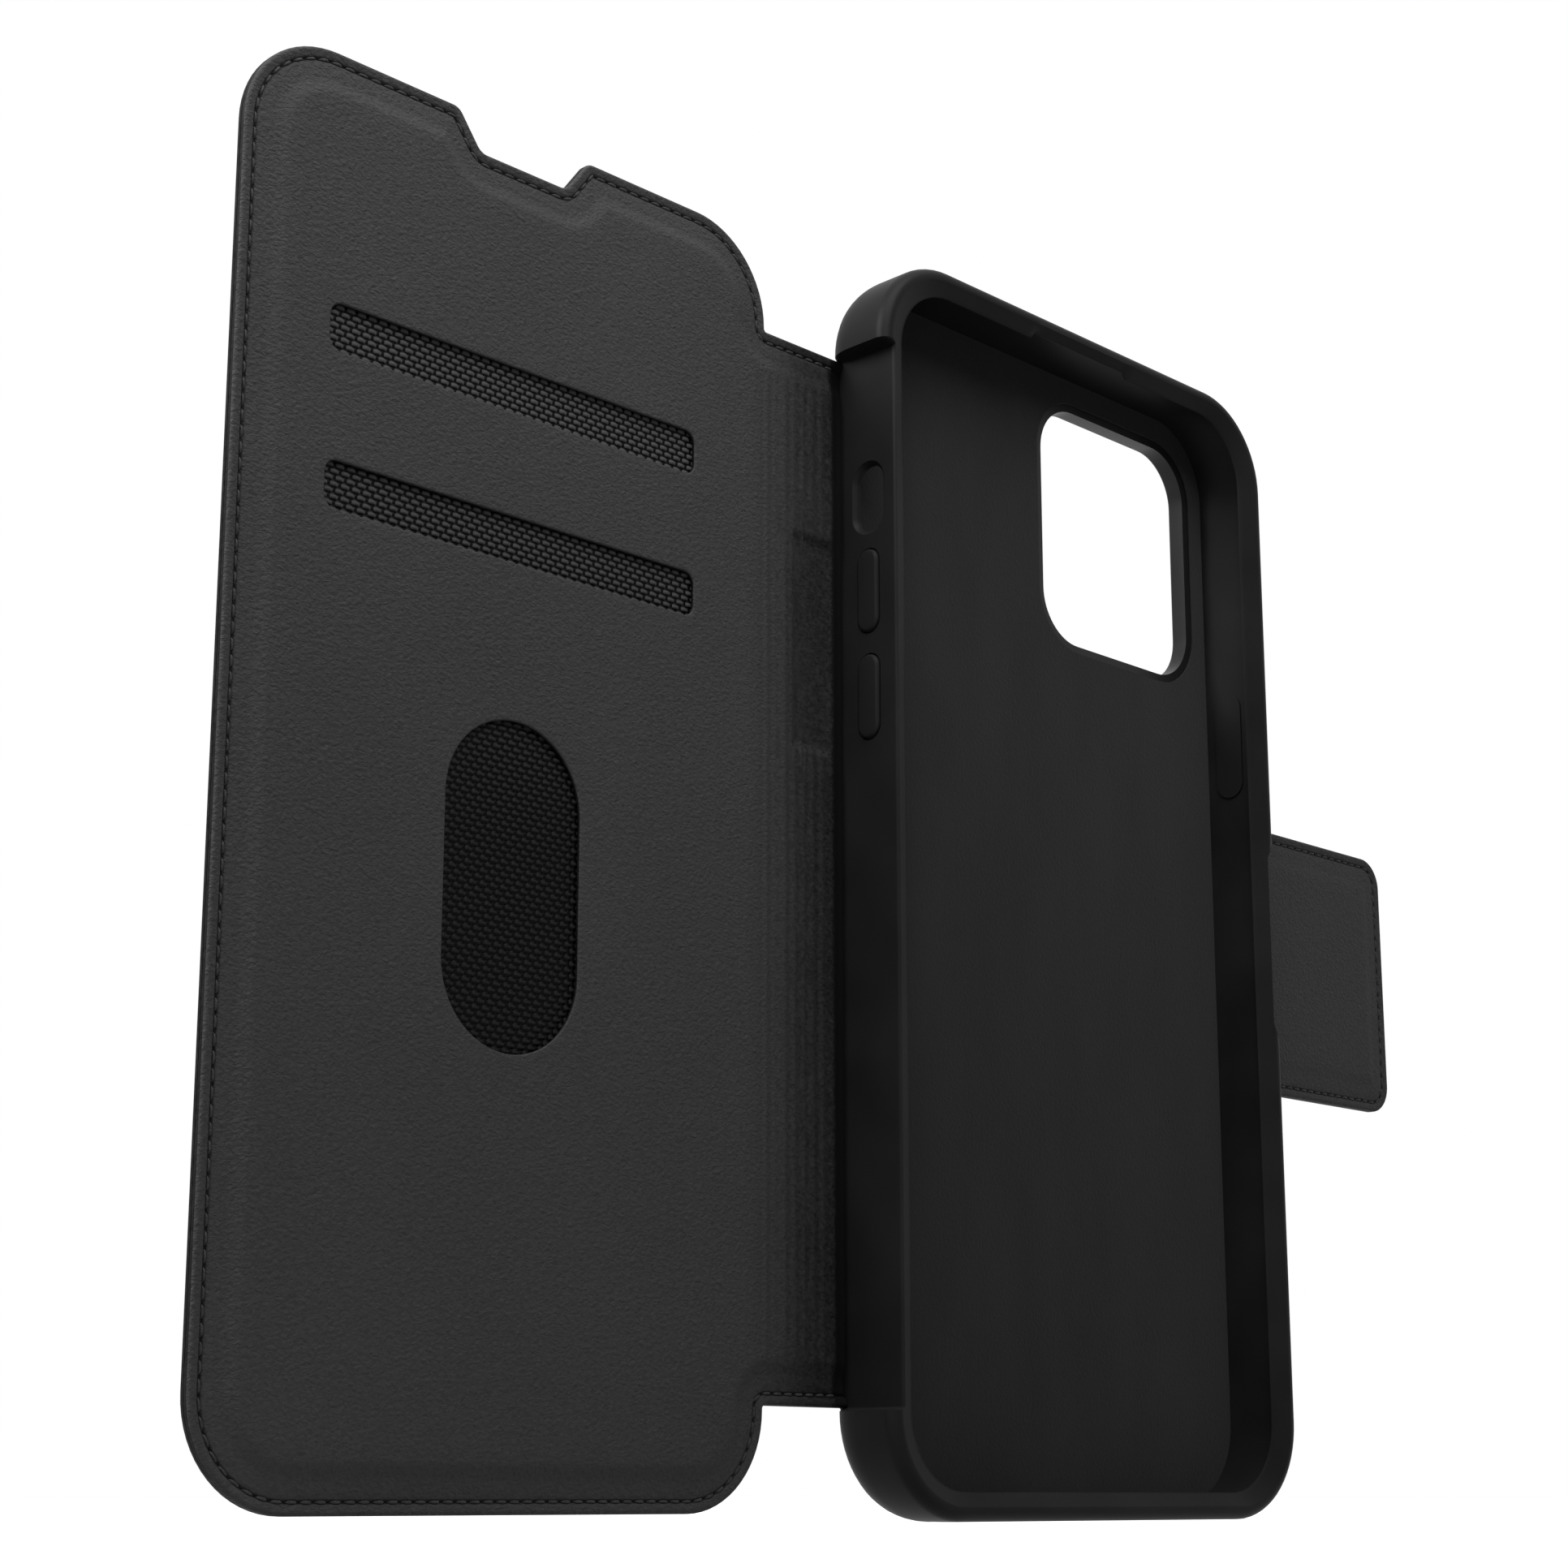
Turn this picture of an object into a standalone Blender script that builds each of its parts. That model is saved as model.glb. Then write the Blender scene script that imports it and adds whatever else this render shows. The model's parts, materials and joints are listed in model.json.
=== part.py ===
"""A folding phone wallet case, opened flat and standing upright.

A moulded tray holds the phone. A leather cover with two card slots swings on a flexible spine at the
tray's left, and a magnetic latch folds round its right side. Metres, +Z up along the phone, +X to the
right and -Y towards the viewer, with the origin at the middle of the tray's leather back face.
"""

import math

import bmesh
import bpy
from mathutils import Matrix, Vector

# Layers, each a thickness
LEATHER = 0.00075
BOARD = 0.0007
FABRIC = 0.00025
STIFFENER = 0.0003
PLATE = 0.0009
LINING = 0.0002
GLUE_GAP = 0.0001
CARD_GAP = 0.0002

# Pocket for the phone
POCKET_WIDTH = 0.0782
POCKET_HEIGHT = 0.1613
POCKET_DEPTH = 0.00795
POCKET_CORNER = 0.0110

# Bumper frame
SIDE_WALL = 0.0034
END_WALL = 0.00235
RECESS_WALL = 0.0011
BUMPER_LENGTH = 0.0133
FRONT_ROUND = 0.0014
FRONT_FADE = 0.0017
BACK_FADE = 0.0040
BACK_FLAT = 0.0004
RECESS_ROUND = 0.0009
LIP_FLAT = 0.0004
LIP_OVERLAP = 0.0013
LIP_RISE = 0.0013
LIP_EDGE = 0.00015
FIT_GAP = 0.00015

# Openings and reliefs of the frame, with drops from the pocket's top
MUTE_WIDTH = 0.0047
MUTE_HEIGHT = 0.0092
MUTE_CHAMFER = 0.0005
MUTE_DROP = 0.03175
PORT_WIDTH = 0.0130
PORT_DEPTH = 0.0056
SPEAKER_WIDTH = 0.0150
SPEAKER_DEPTH = 0.0032
SPEAKER_X = 0.0220
EAR_WIDTH = 0.0200
EAR_SLOPE = 0.0012
EAR_DEPTH = 0.0008
LATCH_RELIEF_HEIGHT = 0.0226
LATCH_RELIEF_SLOPE = 0.0037
LATCH_RELIEF_DEPTH = 0.0012

# Buttons, with drops from the pocket's top to their middles
BUTTON_WIDTH = 0.0036
BUTTON_PROUD = 0.0005
BUTTON_ROUND = 0.0004
BUTTON_GAP = 0.0002
VOLUME_LENGTH = 0.0113
VOLUME_UP_DROP = 0.04465
VOLUME_DOWN_DROP = 0.05905
SIDE_BUTTON_LENGTH = 0.0150
SIDE_BUTTON_DROP = 0.05035

# Camera window, with margins from the pocket's right side and top
CAMERA_WIDTH = 0.0370
CAMERA_HEIGHT = 0.0390
CAMERA_CORNER = 0.0090
CAMERA_SIDE_MARGIN = 0.0026
CAMERA_TOP_MARGIN = 0.00315
CAMERA_RING = 0.0016
CAMERA_PROUD = 0.0010
CAMERA_ROUND = 0.0004

# Cover
COVER_SHORT = 0.0011
COVER_SETBACK = 0.0031
COVER_CORNER = 0.0123
COVER_BULGE = 0.0010
COVER_FLANGE = 0.0045
COVER_RAMP = 0.0020
COVER_CLEARANCE = 0.0020
NOTCH_MOUTH = 0.0203
NOTCH_FLOOR = 0.0133
NOTCH_DEPTH = 0.0047
NOTCH_ROUND = 0.0018
SLOT_WIDTH = 0.0560
SLOT_HEIGHT = 0.0054
SLOT_ROUND = 0.0011
UPPER_SLOT_Z = 0.0483
LOWER_SLOT_Z = 0.0297
THUMB_WIDTH = 0.0200
THUMB_HEIGHT = 0.0386
THUMB_Z = -0.0120
CARD_LENGTH = 0.0856
CARD_MARGIN = 0.0020
KEEPER_WIDTH = 0.0120
KEEPER_HEIGHT = 0.0300
KEEPER_BORDER = 0.0015

# Spine, latch strap and latch tab
SPINE_END_GAP = 0.0005
SPINE_CLEARANCE = 0.00025
CREASE_GAP = 0.00015
SPINE_FLANGE = 0.0060
STIFFENER_MARGIN = 0.0010
RELIEF_DEPTH = 0.0005
RELIEF_MARGIN = 0.0016
STRAP_HEIGHT = 0.0410
STRAP_CLEARANCE = 0.0007
LATCH_CLEARANCE = 0.0003
TAB_LENGTH = 0.0242
TAB_CORNER = 0.0045
TAB_FLANGE = 0.0033
TAB_RAMP = 0.0012
MAGNET_WIDTH = 0.0090
MAGNET_HEIGHT = 0.0240
INNER_MARGIN = 0.0005
LEATHER_BORDER = 0.0024
LEATHER_CORNER = 0.0010
EDGE_SKIVE = 0.0005

# Seams
SEAM_INSET = 0.0020
THREAD_RADIUS = 0.0002

# Steps of an arc, the smallest corner, how far a cutter stands past what it cuts, the flat left at a
# stadium's tips, the weld of a curve's caps, and the angle below which edges shade smooth
ARC_STEPS = 8
LEAST_RADIUS = 0.0003
CUT_REACH = 0.0040
STADIUM_FLAT = 0.000005
WELD = 1e-6
SMOOTH_ANGLE = 40

# Places worked out from the sizes above
SHELL_WIDTH = POCKET_WIDTH + 2 * SIDE_WALL
SHELL_HEIGHT = POCKET_HEIGHT + 2 * END_WALL
SHELL_CORNER = POCKET_CORNER + END_WALL
POCKET_TOP = POCKET_HEIGHT / 2
MUTE_Z = POCKET_TOP - MUTE_DROP
VOLUME_UP_Z = POCKET_TOP - VOLUME_UP_DROP
VOLUME_DOWN_Z = POCKET_TOP - VOLUME_DOWN_DROP
SIDE_BUTTON_Z = POCKET_TOP - SIDE_BUTTON_DROP
CAMERA_X = POCKET_WIDTH / 2 - CAMERA_SIDE_MARGIN - CAMERA_WIDTH / 2
CAMERA_Z = POCKET_TOP - CAMERA_TOP_MARGIN - CAMERA_HEIGHT / 2
PLATE_BACK = -LEATHER - GLUE_GAP
PLATE_FRONT = PLATE_BACK - PLATE
LINING_BACK = PLATE_FRONT - GLUE_GAP
POCKET_FLOOR = LINING_BACK - LINING
LIP_BACK = POCKET_FLOOR - POCKET_DEPTH
SHELL_FRONT = LIP_BACK - LIP_RISE
POCKET_MIDDLE = (POCKET_FLOOR + LIP_BACK) / 2
RECESS_X = -POCKET_WIDTH / 2 - RECESS_WALL
RECESS_HALF = SHELL_HEIGHT / 2 - BUMPER_LENGTH
SPINE_HALF = RECESS_HALF - SPINE_END_GAP
SPINE_THICKNESS = 2 * LEATHER + STIFFENER + 2 * GLUE_GAP
EDGE_THICKNESS = 2 * LEATHER + GLUE_GAP
TAB_THICKNESS = 2 * LEATHER + BOARD + 2 * GLUE_GAP
FOLD_Y = -LEATHER - GLUE_GAP / 2
SEAM_Y = -EDGE_THICKNESS - GLUE_GAP - THREAD_RADIUS
BACK_ROUND = END_WALL - BACK_FLAT
SPINE_AXIS_X = RECESS_X - SPINE_CLEARANCE - SPINE_THICKNESS - FOLD_Y
SPINE_WIDTH = -SHELL_FRONT + COVER_CLEARANCE + EDGE_THICKNESS + 2 * FOLD_Y
COVER_AXIS_X = SPINE_AXIS_X - SPINE_WIDTH
COVER_FREE_X = COVER_AXIS_X - (SHELL_WIDTH / 2 - COVER_SETBACK - SPINE_AXIS_X)
COVER_HALF = SHELL_HEIGHT / 2 - COVER_SHORT
COVER_X = (COVER_AXIS_X + COVER_FREE_X) / 2
STRAP_AXIS_X = SHELL_WIDTH / 2 + STRAP_CLEARANCE + EDGE_THICKNESS + FOLD_Y
STRAP_WIDTH = SPINE_WIDTH + COVER_BULGE + LATCH_CLEARANCE + TAB_THICKNESS
TAB_AXIS_X = STRAP_AXIS_X + STRAP_WIDTH
TAB_FREE_X = TAB_AXIS_X + TAB_LENGTH
STRAP_HALF = STRAP_HEIGHT / 2

# Which world axes the two directions of a flat outline and its thickness lie along
FACING = {
    "x": Matrix(((0, 0, 1, 0), (1, 0, 0, 0), (0, 1, 0, 0), (0, 0, 0, 1))),
    "y": Matrix(((1, 0, 0, 0), (0, 0, -1, 0), (0, 1, 0, 0), (0, 0, 0, 1))),
    "z": Matrix.Identity(4),
}


def clear_scene():
    for obj in list(bpy.data.objects):
        bpy.data.objects.remove(obj, do_unlink=True)


def new_collection(name):
    collection = bpy.data.collections.new(name)
    bpy.context.scene.collection.children.link(collection)
    return collection


def new_material(name, colour, roughness, metallic=0.0):
    material = bpy.data.materials.new(name)
    material.use_nodes = True
    shader = material.node_tree.nodes["Principled BSDF"]
    shader.inputs["Base Color"].default_value = (*colour, 1.0)
    shader.inputs["Roughness"].default_value = roughness
    shader.inputs["Metallic"].default_value = metallic
    return material


def rectangle(low_u, high_u, low_v, high_v):
    return [(low_u, low_v), (high_u, low_v), (high_u, high_v), (low_u, high_v)]


def centred(width, height, at_u=0.0, at_v=0.0):
    return rectangle(at_u - width / 2, at_u + width / 2, at_v - height / 2, at_v + height / 2)


def inset_corners(corners, inset):
    """Corners of a counter-clockwise polygon after every edge has moved inwards by inset."""
    moved = []
    for index, corner in enumerate(corners):
        here = Vector(corner)
        arriving = (here - Vector(corners[index - 1])).normalized()
        leaving = (Vector(corners[(index + 1) % len(corners)]) - here).normalized()
        first = Vector((-arriving.y, arriving.x))
        second = Vector((-leaving.y, leaving.x))
        moved.append(here + (first + second) * (inset / (1 + first.dot(second))))
    return moved


def outline(corners, radii, inset=0.0):
    """Points round the inset polygon with its corners as arcs.

    A convex corner's radius shrinks with the inset and a hollow corner's grows, so outlines of one
    polygon at different insets have matching points. A corner of radius 0 stays one point.
    """
    moved = inset_corners(corners, inset)
    points = []
    for index, corner in enumerate(moved):
        if radii[index] == 0:
            points.append(tuple(corner))
            continue
        arriving = (corner - moved[index - 1]).normalized()
        leaving = (moved[(index + 1) % len(moved)] - corner).normalized()
        turn = math.atan2(arriving.cross(leaving), arriving.dot(leaving))
        side = math.copysign(1, turn)
        radius = max(radii[index] - side * inset, LEAST_RADIUS)
        start = corner - arriving * radius * math.tan(abs(turn) / 2)
        centre = start + Vector((-arriving.y, arriving.x)) * radius * side
        for step in range(ARC_STEPS + 1):
            swing = Matrix.Rotation(turn * step / ARC_STEPS, 2)
            points.append(tuple(centre + swing @ (start - centre)))
    return points


def rounded(corners, radius, inset=0.0):
    return outline(corners, [radius] * len(corners), inset)


def stadium(length, height, at_u=0.0, at_v=0.0):
    return rounded(centred(length, height, at_u, at_v), min(length, height) / 2 - STADIUM_FLAT)


def ring(points, y):
    return [(x, y, z) for x, z in points]


def fold_gap(y):
    """How far a layer at y stays from a fold's axis, so that both sides can turn a right angle."""
    return CREASE_GAP + abs(y - FOLD_Y)


def add_part(name, mesh, collection, material=None):
    obj = bpy.data.objects.new(name, mesh)
    collection.objects.link(obj)
    if material:
        mesh.materials.append(material)
    return obj


def loft(name, rings, loop=False):
    """A closed mesh through rings of equal point count, capped at both ends unless it loops."""
    shape = bmesh.new()
    rows = [[shape.verts.new(point) for point in points] for points in rings]
    pairs = list(zip(rows, rows[1:]))
    if loop:
        pairs.append((rows[-1], rows[0]))
    else:
        shape.faces.new(rows[0])
        shape.faces.new(rows[-1])
    for low, high in pairs:
        for index in range(len(low)):
            shape.faces.new((low[index - 1], low[index], high[index], high[index - 1]))
    bmesh.ops.recalc_face_normals(shape, faces=shape.faces)
    mesh = bpy.data.meshes.new(name)
    shape.to_mesh(mesh)
    shape.free()
    return mesh


def curve_mesh(name, curve, place):
    """The curve's own body as a mesh with its caps welded on."""
    drawn = bpy.data.objects.new(name + "_curve", curve)
    bpy.context.scene.collection.objects.link(drawn)
    graph = bpy.context.evaluated_depsgraph_get()
    graph.update()
    mesh = bpy.data.meshes.new_from_object(drawn.evaluated_get(graph))
    bpy.data.objects.remove(drawn, do_unlink=True)
    shape = bmesh.new()
    shape.from_mesh(mesh)
    bmesh.ops.remove_doubles(shape, verts=shape.verts, dist=WELD)
    bmesh.ops.recalc_face_normals(shape, faces=shape.faces)
    shape.to_mesh(mesh)
    shape.free()
    mesh.transform(place)
    mesh.name = name
    return mesh


def slab(name, outlines, facing, low, high, edge_round=0.0):
    """Outlines filled as one 2D curve, inner ones as holes, and extruded from low to high."""
    curve = bpy.data.curves.new(name, "CURVE")
    curve.dimensions = "2D"
    curve.fill_mode = "BOTH"
    curve.extrude = (high - low) / 2 - edge_round
    curve.bevel_depth = edge_round
    curve.bevel_resolution = 1
    curve.offset = -edge_round
    for points in outlines:
        spline = curve.splines.new("POLY")
        spline.points.add(len(points) - 1)
        for point, (u, v) in zip(spline.points, points):
            point.co = (u, v, 0.0, 1.0)
        spline.use_cyclic_u = True
    middle = Vector([(low + high) / 2 if axis == facing else 0.0 for axis in "xyz"])
    return curve_mesh(name, curve, Matrix.Translation(middle) @ FACING[facing])


def thread(name, path, y):
    """A seam's thread as one tube along the path."""
    curve = bpy.data.curves.new(name, "CURVE")
    curve.dimensions = "3D"
    curve.bevel_depth = THREAD_RADIUS
    curve.bevel_resolution = 1
    curve.use_fill_caps = True
    spline = curve.splines.new("POLY")
    spline.points.add(len(path) - 1)
    for point, (x, z) in zip(spline.points, path):
        point.co = (x, y, z, 1.0)
    return curve_mesh(name, curve, Matrix.Identity(4))


def cut(obj, cutter_mesh, cutters):
    cutter = add_part(cutter_mesh.name, cutter_mesh, cutters)
    cutter.hide_render = True
    cutter.display_type = "WIRE"
    modifier = obj.modifiers.new(cutter_mesh.name, "BOOLEAN")
    modifier.operation = "DIFFERENCE"
    modifier.object = cutter


def shell_outline(inset):
    return rounded(centred(SHELL_WIDTH, SHELL_HEIGHT), SHELL_CORNER, inset)


def pocket_outline(inset):
    return rounded(centred(POCKET_WIDTH, POCKET_HEIGHT), POCKET_CORNER, inset)


def camera_outline(inset):
    return rounded(centred(CAMERA_WIDTH, CAMERA_HEIGHT, CAMERA_X, CAMERA_Z), CAMERA_CORNER, inset)


def frame_mesh():
    """The frame's wall: a rounded section with a sloping lip, carried round the phone."""
    rings = [ring(shell_outline(0), PLATE_BACK - BACK_FADE)]
    quarter = [math.radians(angle) for angle in (0, 22.5, 45, 67.5, 90)]
    for angle in quarter:
        y = SHELL_FRONT + FRONT_FADE * (1 - math.sin(angle))
        rings.append(ring(shell_outline(FRONT_ROUND * (1 - math.cos(angle))), y))
    rings.append(ring(shell_outline(FRONT_ROUND + LIP_FLAT), SHELL_FRONT))
    rings.append(ring(pocket_outline(LIP_OVERLAP), LIP_BACK - LIP_EDGE))
    rings.append(ring(pocket_outline(LIP_OVERLAP), LIP_BACK))
    rings.append(ring(pocket_outline(0), LIP_BACK))
    rings.append(ring(pocket_outline(0), PLATE_BACK))
    for angle in reversed(quarter[1:]):
        y = PLATE_BACK - BACK_FADE * (1 - math.sin(angle))
        rings.append(ring(shell_outline(BACK_ROUND * (1 - math.cos(angle))), y))
    return loft("bumper_frame", rings, loop=True)


def cut_frame(frame, cutters):
    """The spine's recess, the latch and ear reliefs, and every opening through the walls."""
    far_x = -SHELL_WIDTH / 2 - CUT_REACH
    edge = [(far_x, CUT_REACH), (far_x, SHELL_FRONT - CUT_REACH)]
    for angle in (90, 60, 30, 0):
        swing = math.radians(angle)
        x = RECESS_X + RECESS_ROUND * (1 - math.cos(swing))
        y = SHELL_FRONT + RECESS_ROUND * (1 - math.sin(swing))
        if angle == 90:
            edge.append((x, SHELL_FRONT - CUT_REACH))
        edge.append((x, y))
    edge.append((RECESS_X, CUT_REACH))
    cut(frame, slab("spine_recess", [edge], "z", -RECESS_HALF, RECESS_HALF), cutters)

    outer = SHELL_WIDTH / 2
    half = LATCH_RELIEF_HEIGHT / 2
    reach = LATCH_RELIEF_SLOPE * (1 + CUT_REACH / LATCH_RELIEF_DEPTH)
    relief = [
        (outer - LATCH_RELIEF_DEPTH, -half),
        (outer + CUT_REACH, -half - reach),
        (outer + CUT_REACH, half + reach),
        (outer - LATCH_RELIEF_DEPTH, half),
    ]
    cut(frame, slab("latch_relief", [relief], "y", SHELL_FRONT - CUT_REACH, CUT_REACH), cutters)

    lip_z = POCKET_TOP - LIP_OVERLAP
    ear = EAR_WIDTH / 2
    notch = [
        (-ear - EAR_SLOPE, lip_z - CUT_REACH),
        (ear + EAR_SLOPE, lip_z - CUT_REACH),
        (ear + EAR_SLOPE, lip_z),
        (ear, lip_z + EAR_DEPTH),
        (-ear, lip_z + EAR_DEPTH),
        (-ear - EAR_SLOPE, lip_z),
    ]
    low = SHELL_FRONT - CUT_REACH
    cut(frame, slab("ear_relief", [notch], "y", low, LIP_BACK + FIT_GAP), cutters)

    wall_x = -POCKET_WIDTH / 2
    mute = []
    for x, grow in ((wall_x + CUT_REACH, 0), (RECESS_X + MUTE_CHAMFER, 0), (RECESS_X, 1), (far_x, 1)):
        width = MUTE_WIDTH + 2 * MUTE_CHAMFER * grow
        height = MUTE_HEIGHT + 2 * MUTE_CHAMFER * grow
        points = stadium(width, height, POCKET_MIDDLE, MUTE_Z)
        mute.append([(x, y, z) for y, z in points])
    cut(frame, loft("mute_opening", mute), cutters)

    for name, length, z, low, high in button_places():
        hole = stadium(BUTTON_WIDTH + 2 * BUTTON_GAP, length + 2 * BUTTON_GAP, POCKET_MIDDLE, z)
        cut(frame, slab(name + "_hole", [hole], "x", low - CUT_REACH, high + CUT_REACH), cutters)

    bottom = -SHELL_HEIGHT / 2
    openings = (
        ("port_opening", PORT_WIDTH, PORT_DEPTH, 0.0),
        ("left_speaker_opening", SPEAKER_WIDTH, SPEAKER_DEPTH, -SPEAKER_X),
        ("right_speaker_opening", SPEAKER_WIDTH, SPEAKER_DEPTH, SPEAKER_X),
    )
    for name, width, depth, x in openings:
        points = stadium(width, depth, x, POCKET_MIDDLE)
        cut(frame, slab(name, [points], "z", bottom - CUT_REACH, bottom + END_WALL + CUT_REACH), cutters)


def button_places():
    """Each button's name, length, height on the tray, and the low and high x of its body."""
    left_inner = -POCKET_WIDTH / 2 - FIT_GAP
    right_inner = POCKET_WIDTH / 2 + FIT_GAP
    right_face = SHELL_WIDTH / 2 + BUTTON_PROUD
    return (
        ("volume_up_button", VOLUME_LENGTH, VOLUME_UP_Z, RECESS_X - BUTTON_PROUD, left_inner),
        ("volume_down_button", VOLUME_LENGTH, VOLUME_DOWN_Z, RECESS_X - BUTTON_PROUD, left_inner),
        ("side_button", SIDE_BUTTON_LENGTH, SIDE_BUTTON_Z, right_inner, right_face),
    )


def back_leather_mesh():
    """The back's leather, reaching out to the spine's crease and the strap's, with mitred edges there."""
    rings = []
    half_x = SHELL_WIDTH / 2 - LEATHER_BORDER
    half_z = SHELL_HEIGHT / 2 - LEATHER_BORDER
    corner = SHELL_CORNER - LEATHER_BORDER
    for y in (0.0, -LEATHER):
        left = SPINE_AXIS_X + fold_gap(y)
        right = STRAP_AXIS_X - fold_gap(y)
        corners = [
            (half_x, -half_z),
            (half_x, -STRAP_HALF),
            (right, -STRAP_HALF),
            (right, STRAP_HALF),
            (half_x, STRAP_HALF),
            (half_x, half_z),
            (-half_x, half_z),
            (-half_x, SPINE_HALF),
            (left, SPINE_HALF),
            (left, -SPINE_HALF),
            (-half_x, -SPINE_HALF),
            (-half_x, -half_z),
        ]
        small = LEATHER_CORNER
        radii = [corner, small, 0, 0, small, corner, corner, 0, 0, 0, 0, corner]
        rings.append(ring(outline(corners, radii), y))
    return loft("back_leather", rings)


def ring_wall(name, outline_of):
    """The camera window's trim: a rounded wall that stands proud of the leather."""
    far = CAMERA_RING - CAMERA_ROUND
    steps = (
        (0, PLATE_FRONT),
        (0, CAMERA_PROUD - CAMERA_ROUND),
        (CAMERA_ROUND, CAMERA_PROUD),
        (far, CAMERA_PROUD),
        (CAMERA_RING, CAMERA_PROUD - CAMERA_ROUND),
        (CAMERA_RING, PLATE_FRONT),
    )
    return loft(name, [ring(outline_of(inset), y) for inset, y in steps], loop=True)


def cover_outline(inset, fold):
    """The cover's outline with its notch, starting at the lower corner beside the spine.

    fold is how far its spine side stays from the fold's axis, whatever the inset.
    """
    right = COVER_AXIS_X - fold + inset
    corners = [
        (right, -COVER_HALF),
        (right, COVER_HALF),
        (COVER_X + NOTCH_MOUTH / 2, COVER_HALF),
        (COVER_X + NOTCH_FLOOR / 2, COVER_HALF - NOTCH_DEPTH),
        (COVER_X - NOTCH_FLOOR / 2, COVER_HALF - NOTCH_DEPTH),
        (COVER_X - NOTCH_MOUTH / 2, COVER_HALF),
        (COVER_FREE_X, COVER_HALF),
        (COVER_FREE_X, -COVER_HALF),
    ]
    big = COVER_CORNER
    small = NOTCH_ROUND
    return outline(corners, [big, big, small, small, small, small, big, big], inset)


def cover_leather_mesh():
    """A formed sheet: a flat stitched border, then a ramp out to a raised middle."""
    border = COVER_FLANGE
    middle = COVER_FLANGE + COVER_RAMP
    outer = fold_gap(0.0)
    inner = fold_gap(-LEATHER)
    rings = [
        ring(cover_outline(middle, outer + middle), COVER_BULGE),
        ring(cover_outline(border, outer + border), 0.0),
        ring(cover_outline(EDGE_SKIVE, outer), 0.0),
        ring(cover_outline(0, inner), -LEATHER),
        ring(cover_outline(border, inner + border), -LEATHER),
        ring(cover_outline(middle, inner + middle), COVER_BULGE - LEATHER),
    ]
    return loft("cover_leather", rings)


def cover_stack():
    """The back and front of each layer inside the cover's raised middle, from the outside in."""
    layers = {}
    y = COVER_BULGE - LEATHER
    steps = (
        ("cover_board", GLUE_GAP, BOARD),
        ("pocket_lining", GLUE_GAP, FABRIC),
        ("card_divider", GLUE_GAP, FABRIC),
        ("cover_liner", CARD_GAP, LEATHER),
    )
    for name, gap, thickness in steps:
        layers[name] = (y - gap, y - gap - thickness)
        y -= gap + thickness
    return layers


def cover_liner_mesh():
    back, front = cover_stack()["cover_liner"]
    border = COVER_FLANGE
    middle = COVER_FLANGE + COVER_RAMP
    flange_back = -LEATHER - GLUE_GAP
    near = fold_gap(-EDGE_THICKNESS)
    rings = [
        ring(cover_outline(middle, near + middle), back),
        ring(cover_outline(border, near + border), flange_back),
        ring(cover_outline(0, fold_gap(flange_back)), flange_back),
        ring(cover_outline(EDGE_SKIVE, near), -EDGE_THICKNESS),
        ring(cover_outline(border, near + border), -EDGE_THICKNESS),
        ring(cover_outline(middle, near + middle), front),
    ]
    return loft("cover_liner", rings)


def cover_windows():
    """The two card slots and the thumb window, each with its name and outline."""
    slots = ((UPPER_SLOT_Z, "upper_slot"), (LOWER_SLOT_Z, "lower_slot"))
    for z, name in slots:
        yield name, rounded(centred(SLOT_WIDTH, SLOT_HEIGHT, COVER_X, z), SLOT_ROUND)
    yield "thumb_window", stadium(THUMB_WIDTH, THUMB_HEIGHT, COVER_X, THUMB_Z)


def seam_path(points):
    """The seam round a panel whose first two corners lie at its fold: it starts and ends at the fold."""
    first_arc = ARC_STEPS + 1
    return points[first_arc:] + points[:first_arc]


def cover_seam():
    """The cover's seam, turning off beside the fold at both ends to meet the spine's seams."""
    near = fold_gap(SEAM_Y - THREAD_RADIUS)
    path = seam_path(cover_outline(SEAM_INSET, near + SEAM_INSET / 2))
    seam_z = SPINE_HALF - SEAM_INSET
    fold_x = COVER_AXIS_X - near
    turn_x = path[0][0]
    turn = SEAM_INSET / 4
    start = [(fold_x, seam_z), (turn_x + turn, seam_z), (turn_x, seam_z + turn)]
    return start + path + [(x, -z) for x, z in reversed(start)]


def panel_mesh(name, low_fold, high_fold, half_z, back, front):
    """A rectangular leather panel between two folds, skived at both so that it can turn about them."""
    rings = []
    for y in (back, front):
        corners = rectangle(low_fold + fold_gap(y), high_fold - fold_gap(y), -half_z, half_z)
        rings.append(ring(corners, y))
    return loft(name, rings)


def spine_liner_mesh():
    """The spine's inner leather: stitched borders at both ends and a middle raised over the stiffener."""
    rise = STIFFENER + GLUE_GAP
    edge = SPINE_HALF
    border = SPINE_HALF - SPINE_FLANGE
    middle = border - STIFFENER_MARGIN
    back = -LEATHER - GLUE_GAP
    side = [(-edge, 0), (-border, 0), (-middle, rise), (middle, rise), (border, 0), (edge, 0)]
    profile = [(back - lift, z) for z, lift in side]
    profile += [(back - lift - LEATHER, z) for z, lift in reversed(side)]
    low = [(COVER_AXIS_X + fold_gap(y), y, z) for y, z in profile]
    high = [(SPINE_AXIS_X - fold_gap(y), y, z) for y, z in profile]
    return loft("spine_liner", [low, high])


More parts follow.
